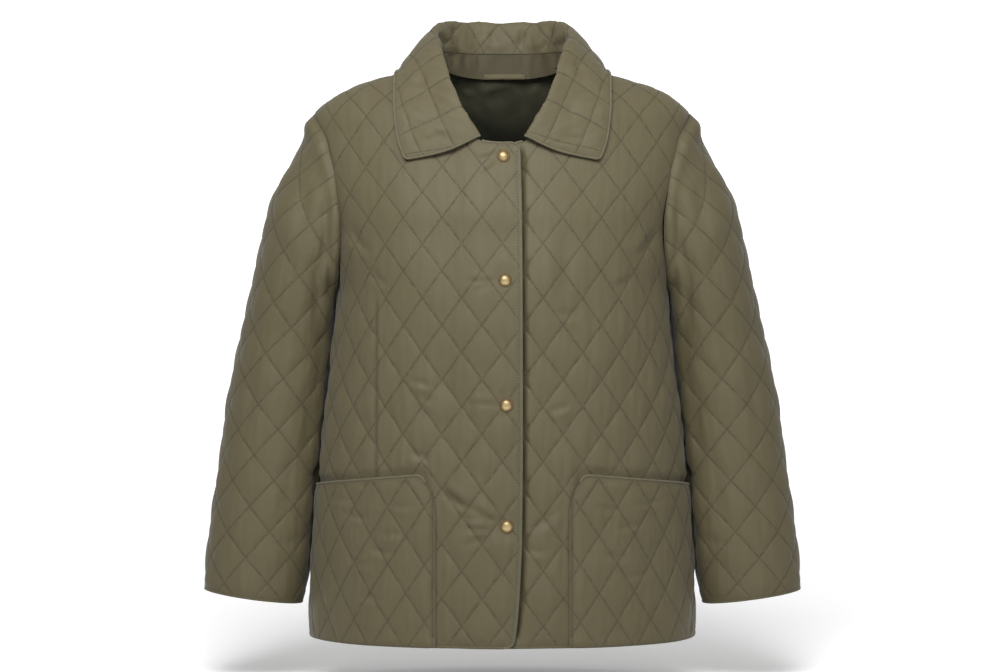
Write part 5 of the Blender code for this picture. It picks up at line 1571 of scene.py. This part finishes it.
def make_pocket(word, side, drape):
    lines = [pocket_outline(side, drape), side_seam(drape),
             lambda p: body_points(drape, p)[0][:, 2] - HEM - POCKET_FOOT]
    near, far, low, high = POCKET_BOX
    box = (-far, -near, low, high) if side < 0 else POCKET_BOX

    def sewn_groove(places):
        return np.exp(-((side * places[:, 0] - POCKET_INNER - POCKET_SEWN) / POCKET_GROOVE[0]) ** 2)

    def surface(places, inset):
        points, normals = body_points(drape, places)
        sewn = ramp(side * places[:, 0], POCKET_INNER + 14, POCKET_INNER)
        foot = ramp(points[:, 2], HEM + 14.0, HEM + 4.0)
        lift = POCKET_LIFT - POCKET_PRESS * sewn * (1 - foot) + POCKET_FOOT_LIFT * foot
        points = points + normals * lift[:, None]
        fold = creases(points, POCKET_CREASE_STRENGTH * ramp(inset, 0.0, CREASE_FADE), POCKET_CREASES)
        fold -= POCKET_GROOVE[1] * sewn_groove(places)
        return points + normals * fold[:, None], normals, quilt_relief(POCKET_DIAMOND, places, inset, 9)

    # The seam mark paints shade in the pressed groove along the pocket's sewn edge.
    make_quilted("quilted_pocket_" + word, "pocket_" + word, POCKET_DIAMOND, box, lines, surface,
                 marks=lambda p: (0.55 * sewn_groove(p), np.zeros(len(p))), word="pocket")
    levels = np.linspace(-503.0, HEM + 10.0, 80)
    down = drape.down_at(levels)
    edge = np.stack([np.full(len(levels), side * (POCKET_INNER + POCKET_SEWN)), down], axis=1)
    starts, ends = mouth_rays(side, drape, POCKET_INNER + POCKET_SEWN + 2.0)
    mouth = edge_places(pocket_top(side, drape), starts, ends, 2 * SMALL_BEAD + POCKET_TOPSTITCH)
    sew("pocket_topstitch_" + word, [thread_line(surface, edge, POCKET_SEWN),
                                     thread_line(surface, mouth, 3.0)])


def sleeve_surface(drape):
    def surface(places, inset):
        points, normals, _ = drape.read(places[:, 0], places[:, 1])
        front, back = sides(normals)
        fade = SLEEVE_CREASE_STRENGTH * ramp(inset, 0.0, 6.0)
        fold = creases(points, front * fade, SLEEVE_FRONT_CREASES)
        fold += creases(points, back * fade, SLEEVE_BACK_CREASES)
        height = SLEEVE_RELIEF * quilt_relief(SLEEVE_DIAMOND, places, inset, 13)
        return points + normals * fold[:, None], normals, height
    return surface


def make_sleeve(word, side, drape):
    def fields(p):
        return drape.read(p[:, 0], p[:, 1])[2]

    lines = [
        lambda p: fields(p)["reach"] - FINE_HEAD_GAP - UNDERARM_GAP * ramp(p[:, 1], -215.0, -255.0),
        lambda p: drape.around(180.0, p[:, 1]) - p[:, 0] + SEAM_OVERLAP / 2,
        lambda p: p[:, 0] - drape.around(-180.0, p[:, 1]) + SEAM_OVERLAP / 2,
        lambda p: fields(p)["left"] - 2 * EDGE_BEAD - BEAD_GAP,
    ]
    make_quilted("quilted_sleeve_" + word, "sleeve_" + word, SLEEVE_DIAMOND, SLEEVE_BOX,
                 lines, sleeve_surface(drape), side < 0, word="sleeve")


def make_collar(drape):
    """The collar's quilted fall, from the stand's seam over the fold to the piped edge."""
    end = drape.downs[-1]
    bound = collar_outline(drape)

    def at_seam(p):
        along, down = unbend(p).T
        return down - SEAM_GAP - FOLD_GAP * ramp(np.abs(along) / end, 0.5, 0.75)

    lines = [at_seam, lambda p: bound(unbend(p)) - 2 * SMALL_BEAD - BEAD_GAP]

    def surface(places, inset):
        points, normals = collar_points(drape, unbend(places))
        fold = creases(points, COLLAR_CREASE_STRENGTH * ramp(inset, 0.0, CREASE_FADE), COLLAR_CREASES)
        height = COLLAR_RELIEF * quilt_relief(COLLAR_DIAMOND, places, inset, 17)
        return points + normals * fold[:, None], normals, height

    make_quilted("quilted_collar", "collar", COLLAR_DIAMOND, COLLAR_BOX, lines, surface,
                 word="collar")


def make_stand(drape):
    """The collar's stand, plain cloth with soft cross creases."""
    end = drape.downs[-1]
    lines = [lambda p: p[:, 1] - SEAM_GAP,
             lambda p: end - 1.0 - np.abs(p[:, 0]),
             lambda p: drape.around(1.0, np.abs(p[:, 0])) - p[:, 1] - SEAM_GAP]
    grid = (COLLAR_DIAMOND[0], 36.0, 0.0)
    places, faces, inset = cut_piece(grid, (-end - 5, end + 5, -2, 50), lines)
    points, normals = collar_points(drape, places)
    faces = facing_out(points, normals, faces)
    fade = ramp(inset, 0.0, CREASE_FADE)
    height = 0.8 * ripple(places, 22.0, 21, 2.2) * fade + creases(points, fade, STAND_CREASES)
    mesh = cloth_mesh("plain_collar_stand", points + normals * height[:, None],
                      points - normals * STAND_WALL, faces, places, [inside_material()])
    piece = add_piece("plain_collar_stand", mesh, ("collar_stand",))


def make_loop(drape):
    """The hanger loop: a folded strip sewn down at its ends just above the neck seam."""
    around = np.linspace(LOOP_FROM, LOOP_TO, LOOP_STEPS)
    foot = float(drape.around(1.0, np.array([0.0]))[0])
    bow = LOOP_BOW * np.sin(math.pi * np.linspace(0.0, 1.0, LOOP_STEPS))

    def off_stand(arounds, high, distance):
        places = np.stack([arounds, np.broadcast_to(foot - high, len(arounds))], axis=1)
        points, normals = collar_points(drape, places)
        return points + normals * distance[:, None] - [0, 0, LOOP_DROP]

    rim = np.array([off_stand(around, 1.0 + LOOP_WIDTH * height, LOOP_OFF + LOOP_WALL * rise + bow)
                    for height, rise in LOOP_EDGE])
    sides_round, last = len(rim), LOOP_STEPS - 1
    faces = []
    for k in range(sides_round):
        a, b = k * LOOP_STEPS, (k + 1) % sides_round * LOOP_STEPS
        faces += [(a + i, a + i + 1, b + i + 1, b + i) for i in range(last)]
    faces.append(tuple(k * LOOP_STEPS for k in range(sides_round)))
    faces.append(tuple(k * LOOP_STEPS + last for k in reversed(range(sides_round))))
    mesh = bpy.data.meshes.new("folded_hanger_loop")
    mesh.from_pydata(rim.reshape(-1, 3) * MM, [], faces)
    mesh.materials.append(plain_shell_material())
    point_out(mesh)
    mesh.shade_smooth()
    mesh.set_sharp_from_angle(angle=SHARP_LOOP)
    add_piece("folded_hanger_loop", mesh, ("hanger_loop",))
    high = np.linspace(0.5, LOOP_WIDTH + 1.5, 12)
    on_loop = np.full(len(high), LOOP_OFF + LOOP_WALL + 0.5)
    tacks = [LOOP_FROM + at for at in LOOP_TACKS] + [LOOP_TO - at for at in reversed(LOOP_TACKS)]
    sew("loop_tacks", [off_stand(np.full(len(high), at), high, on_loop) for at in tacks])


def point_out(mesh):
    """Turns a closed mesh's faces outwards."""
    work = bmesh.new()
    work.from_mesh(mesh)
    bmesh.ops.recalc_face_normals(work, faces=work.faces)
    work.to_mesh(mesh)
    work.free()


# ---------------------------------------------------------------- tapes and piping

def level_path(drape, arounds, level, lift):
    """Points of the body at one level, at these distances round."""
    downs = np.full(len(arounds), drape.down_at(level))
    points, normals = body_points(drape, np.stack([arounds, downs], axis=1))
    return points + normals * np.asarray(lift)[..., None]


def tape_hem(front, back):
    """The hem's fold, all round from under the right front to the left one."""
    down = np.array([front.down_at(HEM)])
    side = float(front.around(90.0, down)[0])
    back_side = float(back.around(90.0, down)[0])
    start = float(front_edge_at(HEM)) - HEM_TUCK
    right = np.append(np.linspace(start, 8.0 - side, HEM_STEPS), 1.0 - side)
    left = np.append(np.linspace(1.0 - UNDERLAP, side - 8.0, HEM_STEPS), side - 1.0)[::-1]
    behind = np.linspace(3.0 - back_side, back_side - 3.0, HEM_BACK_STEPS)
    fronts = np.concatenate([right, left])
    lift = front_lift(-1, np.stack([fronts, fronts], axis=1)) * (np.arange(len(fronts)) < len(right))
    thick = over_pocket(fronts) * ramp(side - np.abs(fronts), 1.0, 7.0)
    lift += thick * POCKET_LIFT / 2 - WALL / 2
    on_front = level_path(front, fronts, HEM + HEM_BEAD, lift)
    on_back = level_path(back, behind, HEM + HEM_BEAD, np.full(len(behind), -WALL / 2))
    path = np.insert(on_front, len(right), on_back, axis=0)
    thick = np.insert(thick, len(right), np.zeros(len(behind)))
    wide = HEM_BEAD + (HEM_BEAD_AT_POCKET - HEM_BEAD) * thick
    path[:, 2] = HEM + wide
    roll_tape("hem_binding", path, wide, material=plain_shell_material())


def tape_front_edge(drape, surface):
    """The edge of the right front: its neck edge, round the corner, down, and round into the hem."""
    _, bound_edge, _ = front_lines(-1, drape)
    top, foot = drape.down_at(EDGE_LEVELS)
    neck, corner, straight, turned = EDGE_STEPS
    starts = [(x, top) for x in np.linspace(EDGE_NECK_START, 2.0, neck)] + [(3.0, top)] * corner
    starts += [(0.0, v) for v in np.linspace(top - 2.0, foot + 2.0, straight)]
    starts += [(float(front_edge_at(HEM)) - EDGE_FOOT_TURN, foot)] * turned
    turns = np.radians(np.concatenate([np.full(neck, 90.0), np.linspace(86.0, 4.0, corner),
                                       np.zeros(straight), np.linspace(-3.0, -87.0, turned)]))
    ends = starts + RAY * np.stack([np.cos(turns), np.sin(turns)], axis=1)
    places = edge_places(bound_edge, starts, ends, -EDGE_BEAD - BEAD_GAP)
    points, normals = body_points(drape, places)
    lift = front_lift(-1, places) - WALL / 2
    roll_tape("front_binding_right", points + normals * lift[:, None], EDGE_BEAD)
    rows = []
    levels = np.linspace(-FRONT_NECK_DROP - 12.0, HEM + 8.0, 120)
    for inset in TOPSTITCH_ROWS:
        places = np.stack([front_edge_at(levels) - inset, drape.down_at(levels)], axis=1)
        rows.append(thread_line(surface, places, max(inset - 2 * EDGE_BEAD - BEAD_GAP, 0.0)))
    sew("front_topstitch", rows)


def tape_left_neck(drape):
    """The short neck edge of the left front, between its collar end and the right front."""
    xs = np.linspace(15.0, 23.0, 5)
    levels = front_neck_level(xs) - SMALL_BEAD
    points, normals = body_points(drape, np.stack([xs, drape.down_at(levels)], axis=1))
    roll_tape("neck_binding_left", points - normals * WALL / 2, SMALL_BEAD, gather=0.1)


def mouth_rays(side, drape, last, count=40):
    """Pairs of places on either side of a pocket's top edge, from the side seam to its corner."""
    down = drape.down_at(POCKET_TOP_OUTER[1])
    side_at = float(drape.around(90.0, np.array([down]))[0])
    far = np.linspace(side_at - 0.5, POCKET_TOP_INNER[0] + 12, count)
    near = np.linspace(POCKET_INNER + 25.0, last, count // 2)
    arounds = side * np.concatenate([far, near])
    starts = np.stack([arounds, np.full(len(arounds), down - RAY)], axis=1)
    ends = np.stack([arounds, np.full(len(arounds), down + RAY)], axis=1)
    return starts, ends


def tape_pocket(word, side, drape):
    """The tape along a pocket's top and its slanted corner."""
    starts, ends = mouth_rays(side, drape, POCKET_TAPE_END)
    places = edge_places(pocket_top(side, drape), starts, ends, SMALL_BEAD)
    points, normals = body_points(drape, places)
    roll_tape("pocket_binding_" + word, points + normals * (POCKET_LIFT - WALL / 2), SMALL_BEAD)


def pipe_collar(drape):
    """The piping along the collar's front edges and outer edge. It is looked for straight across
    both edges, and round the corner from a point inside it."""
    inside = collar_outline(drape)
    end = drape.downs[-1]
    width = float(drape.around(1.0, np.array([end]))[0])
    rows = np.linspace(4.0, width - 12.0, 20)
    turns = np.radians(np.linspace(6.0, 84.0, 9))
    arounds = np.linspace(end - 12.0, 0.0, 90)
    heart = np.array([end - 14.0, width - 14.0])
    starts = [(end - RAY, v) for v in rows] + [tuple(heart)] * len(turns) + [(u, 60.0) for u in arounds]
    ends = [(end + 5.0, v) for v in rows]
    ends += [tuple(heart + RAY * np.array([math.cos(t), math.sin(t)])) for t in turns]
    ends += list(zip(arounds, drape.around(1.0, arounds) + 5.0))
    places = edge_places(inside, starts, ends, SMALL_BEAD)
    points, normals = collar_points(drape, places)
    points = points - normals * WALL / 2
    path = np.concatenate([points, points[::-1][1:] * [-1, 1, 1]])
    roll_tape("collar_piping", path, SMALL_BEAD, gather=0.2)


def tape_cuff(word, side, drape):
    """The tape round a cuff."""
    path = []
    for turn in np.linspace(-180.0, 180.0, CUFF_STEPS, endpoint=False):
        place = np.interp(turn, drape.turns, np.arange(len(drape.turns)))
        k = int(place)
        part = place - k
        ends = []
        for column_at in (k, k + 1):
            left = drape.extra["left"][:, column_at]
            row = np.interp(EDGE_BEAD, left, np.arange(len(left)))
            low = int(row)
            at = drape.points[low, column_at] * (1 - row + low)
            at = at + drape.points[low + 1, column_at] * (row - low)
            ends.append(at - drape.normals[low, column_at] * WALL / 2)
        path.append((ends[0] * (1 - part) + ends[1] * part) * [side, 1, 1])
    roll_tape("cuff_binding_" + word, path, EDGE_BEAD, closed=True, material=plain_shell_material())


# ---------------------------------------------------------------- snaps

def make_snap(k, drape, surface):
    """A domed snap cap with a rolled rim, pressed into the right front."""
    x, z = SNAP_PLACES[k]
    points, normals, height = surface(np.array([[x, drape.down_at(z)]]), np.array([SNAP_INSET]))
    normal = Vector(normals[0])
    seat = Vector(points[0] + normals[0] * (height[0] + 0.2))
    turn = normal.to_track_quat("Z", "Y").to_matrix()
    angles = np.linspace(0, 2 * math.pi, SNAP_SIDES, endpoint=False)
    spots = [seat + turn @ Vector((radius * math.cos(a), radius * math.sin(a), rise))
             for radius, rise in SNAP_CAP for a in angles]
    spots.append(seat + turn @ Vector((0, 0, SNAP_CROWN)))
    around = [(j, (j + 1) % SNAP_SIDES) for j in range(SNAP_SIDES)]
    last = (len(SNAP_CAP) - 1) * SNAP_SIDES
    faces = [(i + a, i + b, i + SNAP_SIDES + b, i + SNAP_SIDES + a)
             for i in range(0, last, SNAP_SIDES) for a, b in around]
    faces += [(last + a, last + b, len(spots) - 1) for a, b in around]
    faces.append(tuple(reversed(range(SNAP_SIDES))))
    name = f"brass_snap_{k + 1}"
    mesh = bpy.data.meshes.new(name)
    mesh.from_pydata([tuple(p * MM) for p in spots], [], faces)
    crown = np.array([ramp(r, *SNAP_BRIGHT) for r, _ in SNAP_CAP for _ in angles] + [1.0])
    field = mesh.attributes.new("crown", "FLOAT", "POINT")
    field.data.foreach_set("value", crown.astype(np.float32))
    mesh.materials.append(made_once(bpy.data.materials, "Antique brass", aged_brass))
    point_out(mesh)
    mesh.shade_smooth()
    mesh.set_sharp_from_angle(angle=SHARP_SNAP)
    add_piece(name, mesh, (f"snap_{k + 1}",))


# ---------------------------------------------------------------- settings

def colour_setting(name, value, description):
    return bpy.props.StringProperty(name=name, default=value, description=description, maxlen=7)


class JacketSizes(bpy.types.PropertyGroup):
    puff: bpy.props.FloatProperty(
        name="Puff", default=PILLOW * MM, min=0.0, max=0.01, unit="LENGTH", precision=4,
        description="Height of a diamond's middle above its stitches")
    camera_distance: bpy.props.FloatProperty(
        name="Camera distance", default=3.1, min=1.0, max=10.0, unit="LENGTH",
        description="From the camera to the middle of the jacket")
    floor: bpy.props.FloatProperty(
        name="Floor", default=-0.735, unit="LENGTH", description="Level of the floor under the hem")


class JacketColours(bpy.types.PropertyGroup):
    # In the quilted cloth the low shell colour lies in the hollows of the upright streaks, as painted
    # shade; elsewhere the two shell colours vary at random.
    shell_low: colour_setting("Shell, low", "#5A533C", "The shell cloth in its streaks")
    shell_high: colour_setting("Shell, high", "#655E46", "The shell cloth between them")
    shell_warm: colour_setting("Shell, warm", "#60583F", "Patches of the shell that look warmer")
    # The groove colour is painted shade: along the stitches, in seams and along edges of the quilted cloth,
    # and on the stand inside the collar.
    painted_shade: colour_setting("Groove", "#3E392B", "Along the stitches, where shade and dust gather")
    tape: colour_setting("Taped band", "#605D47", "The band beside a bound edge")
    tape_low: colour_setting("Tape, low", "#5C5744", "The edge tape in its folds")
    tape_high: colour_setting("Tape, high", "#706B54", "The edge tape on its rounding")
    # The lining's colour below the neck, and the lighter colour it is mixed towards near the neck: painted
    # light, where light reaches in at the neck.
    lining: colour_setting("Lining", "#12120D", "The lining where it is as dark as when it was new")
    lining_painted_light: colour_setting("Lining, faded", "#545443", "The lining at the neck, where light fades it")
    # The inside colour is painted shade as well: the stand inside the collar is darker for want of light.
    inside: colour_setting("Inside cloth", "#504933", "The plain cloth inside the collar and on the loop")
    thread: colour_setting("Thread", "#5A5440", "The sewing thread")
    brass: colour_setting("Brass", "#A3916B", "The snap caps' crown")
    brass_rim: colour_setting("Brass rim", "#66543A", "The snap caps' rim")
    floor: colour_setting("Floor", "#FAFAFA", "The studio floor and backdrop")


# ---------------------------------------------------------------- operators

SURFACES = {}


def surfaces():
    """The curved surfaces that the patterns lie on, worked out once."""
    if not SURFACES:
        SURFACES["front"] = body_drape(0)
        SURFACES["back"] = body_drape(180)
        SURFACES["sleeve"] = sleeve_drape()
        SURFACES["fall"] = collar_drape("seam")
        SURFACES["stand"] = collar_drape("neck")
    return SURFACES


class JACKET_OT_fronts(bpy.types.Operator):
    """Make the two quilted fronts, with the right front's edge tape and topstitching"""
    bl_idname = "jacket.fronts"
    bl_label = "Fronts"

    def execute(self, context):
        drape = surfaces()["front"]
        surface = make_front("right", -1, drape)
        make_front("left", 1, drape)
        tape_front_edge(drape, surface)
        tape_left_neck(drape)
        return {"FINISHED"}


class JACKET_OT_back(bpy.types.Operator):
    """Make the quilted back and its lining"""
    bl_idname = "jacket.back"
    bl_label = "Back and lining"

    def execute(self, context):
        make_back(surfaces()["back"])
        make_lining(surfaces()["back"])
        return {"FINISHED"}


class JACKET_OT_sleeves(bpy.types.Operator):
    """Make the two quilted sleeves and their cuff tapes"""
    bl_idname = "jacket.sleeves"
    bl_label = "Sleeves"

    def execute(self, context):
        for word, side in (("right", -1), ("left", 1)):
            make_sleeve(word, side, surfaces()["sleeve"])
            tape_cuff(word, side, surfaces()["sleeve"])
        return {"FINISHED"}


class JACKET_OT_pockets(bpy.types.Operator):
    """Make the two quilted patch pockets and their tapes"""
    bl_idname = "jacket.pockets"
    bl_label = "Pockets"

    def execute(self, context):
        for word, side in (("right", -1), ("left", 1)):
            make_pocket(word, side, surfaces()["front"])
            tape_pocket(word, side, surfaces()["front"])
        return {"FINISHED"}


class JACKET_OT_collar(bpy.types.Operator):
    """Make the quilted collar, its stand, its piping and the hanger loop"""
    bl_idname = "jacket.collar"
    bl_label = "Collar"

    def execute(self, context):
        make_collar(surfaces()["fall"])
        make_stand(surfaces()["stand"])
        pipe_collar(surfaces()["fall"])
        make_loop(surfaces()["stand"])
        return {"FINISHED"}


class JACKET_OT_hem(bpy.types.Operator):
    """Make the folded hem all round"""
    bl_idname = "jacket.hem"
    bl_label = "Hem"

    def execute(self, context):
        tape_hem(surfaces()["front"], surfaces()["back"])
        return {"FINISHED"}


class JACKET_OT_snaps(bpy.types.Operator):
    """Make the brass snap caps"""
    bl_idname = "jacket.snaps"
    bl_label = "Snaps"

    def execute(self, context):
        drape = surfaces()["front"]
        for k in range(len(SNAP_PLACES)):
            make_snap(k, drape, front_surface(-1, drape))
        return {"FINISHED"}


class JACKET_OT_stage(bpy.types.Operator):
    """Make the pale studio floor and backdrop, the lights and the camera"""
    bl_idname = "jacket.stage"
    bl_label = "Stage"

    def execute(self, context):
        sizes, colours = context.scene.jacket_sizes, context.scene.jacket_colours
        profile = [(-6.0, 0.0), (COVE_START, 0.0)]
        profile += [(COVE_START + COVE_RADIUS * math.sin(t), COVE_RADIUS * (1.0 - math.cos(t)))
                    for t in np.linspace(0.1, math.pi / 2, 14)]
        profile.append((COVE_START + COVE_RADIUS, 6.0))
        points = [(x, y, sizes.floor + z) for y, z in profile for x in (-8.0, 8.0)]
        faces = [(2 * k, 2 * k + 1, 2 * k + 3, 2 * k + 2) for k in range(len(profile) - 1)]
        mesh = bpy.data.meshes.new("studio_floor")
        mesh.from_pydata(points, [], faces)
        mesh.shade_smooth()
        mesh.materials.append(seamless_paper("Seamless paper", colours.floor))
        floor = bpy.data.objects.new("studio_floor", mesh)
        floor.visible_diffuse = False
        context.scene.collection.objects.link(floor)
        paper = bpy.data.collections.new("Paper")
        paper.objects.link(floor)

        world = bpy.data.worlds.new("Studio")
        world.use_nodes = True
        world.node_tree.nodes["Background"].inputs["Color"].default_value = (1.0, 1.0, 1.0, 1.0)
        world.node_tree.nodes["Background"].inputs["Strength"].default_value = WORLD_LIGHT
        context.scene.world = world
        for name, place, size, power, target in LIGHTS:
            light = bpy.data.lights.new(name, "AREA")
            light.shape = "RECTANGLE"
            light.size, light.size_y = size
            light.energy = power
            lamp = bpy.data.objects.new(name, light)
            lamp.location = place
            aim = Vector(target) - Vector(place)
            lamp.rotation_euler = aim.to_track_quat("-Z", "Y").to_euler()
            context.scene.collection.objects.link(lamp)
            if name == "Paper softbox":
                lamp.light_linking.receiver_collection = paper

        # The display shows light as it is measured, so that white paper is white.
        context.scene.view_settings.view_transform = "Standard"
        camera = bpy.data.cameras.new("Camera")
        camera.sensor_width = 36.0
        camera.lens = CAMERA_LENS
        viewer = bpy.data.objects.new("Camera", camera)
        viewer.location = (CAMERA_X, -sizes.camera_distance, CAMERA_LEVEL)
        viewer.rotation_euler = (math.pi / 2, 0.0, 0.0)
        context.scene.collection.objects.link(viewer)
        context.scene.camera = viewer
        return {"FINISHED"}


OPERATORS = (JACKET_OT_fronts, JACKET_OT_back, JACKET_OT_sleeves, JACKET_OT_pockets, JACKET_OT_collar,
             JACKET_OT_hem, JACKET_OT_snaps, JACKET_OT_stage)


class JACKET_PT_pieces(bpy.types.Panel):
    """The jacket's settings and pieces, in the 3D view's sidebar"""
    bl_idname = "JACKET_PT_pieces"
    bl_label = "Quilted jacket"
    bl_space_type = "VIEW_3D"
    bl_region_type = "UI"
    bl_category = "Jacket"

    def draw(self, context):
        for group in (context.scene.jacket_sizes, context.scene.jacket_colours):
            box = self.layout.box()
            for key in group.__annotations__:
                box.prop(group, key)
        for operator in OPERATORS:
            self.layout.operator(operator.bl_idname)


CLASSES = (JacketSizes, JacketColours, *OPERATORS, JACKET_PT_pieces)


def register():
    for one in CLASSES:
        bpy.utils.register_class(one)
    bpy.types.Scene.jacket_sizes = bpy.props.PointerProperty(type=JacketSizes)
    bpy.types.Scene.jacket_colours = bpy.props.PointerProperty(type=JacketColours)


def unregister():
    del bpy.types.Scene.jacket_sizes
    del bpy.types.Scene.jacket_colours
    for one in reversed(CLASSES):
        bpy.utils.unregister_class(one)


def main():
    register()
    bpy.ops.jacket.fronts()
    bpy.ops.jacket.back()
    bpy.ops.jacket.sleeves()
    bpy.ops.jacket.pockets()
    bpy.ops.jacket.collar()
    bpy.ops.jacket.hem()
    bpy.ops.jacket.snaps()
    bpy.ops.jacket.stage()


if __name__ == "__main__":
    main()
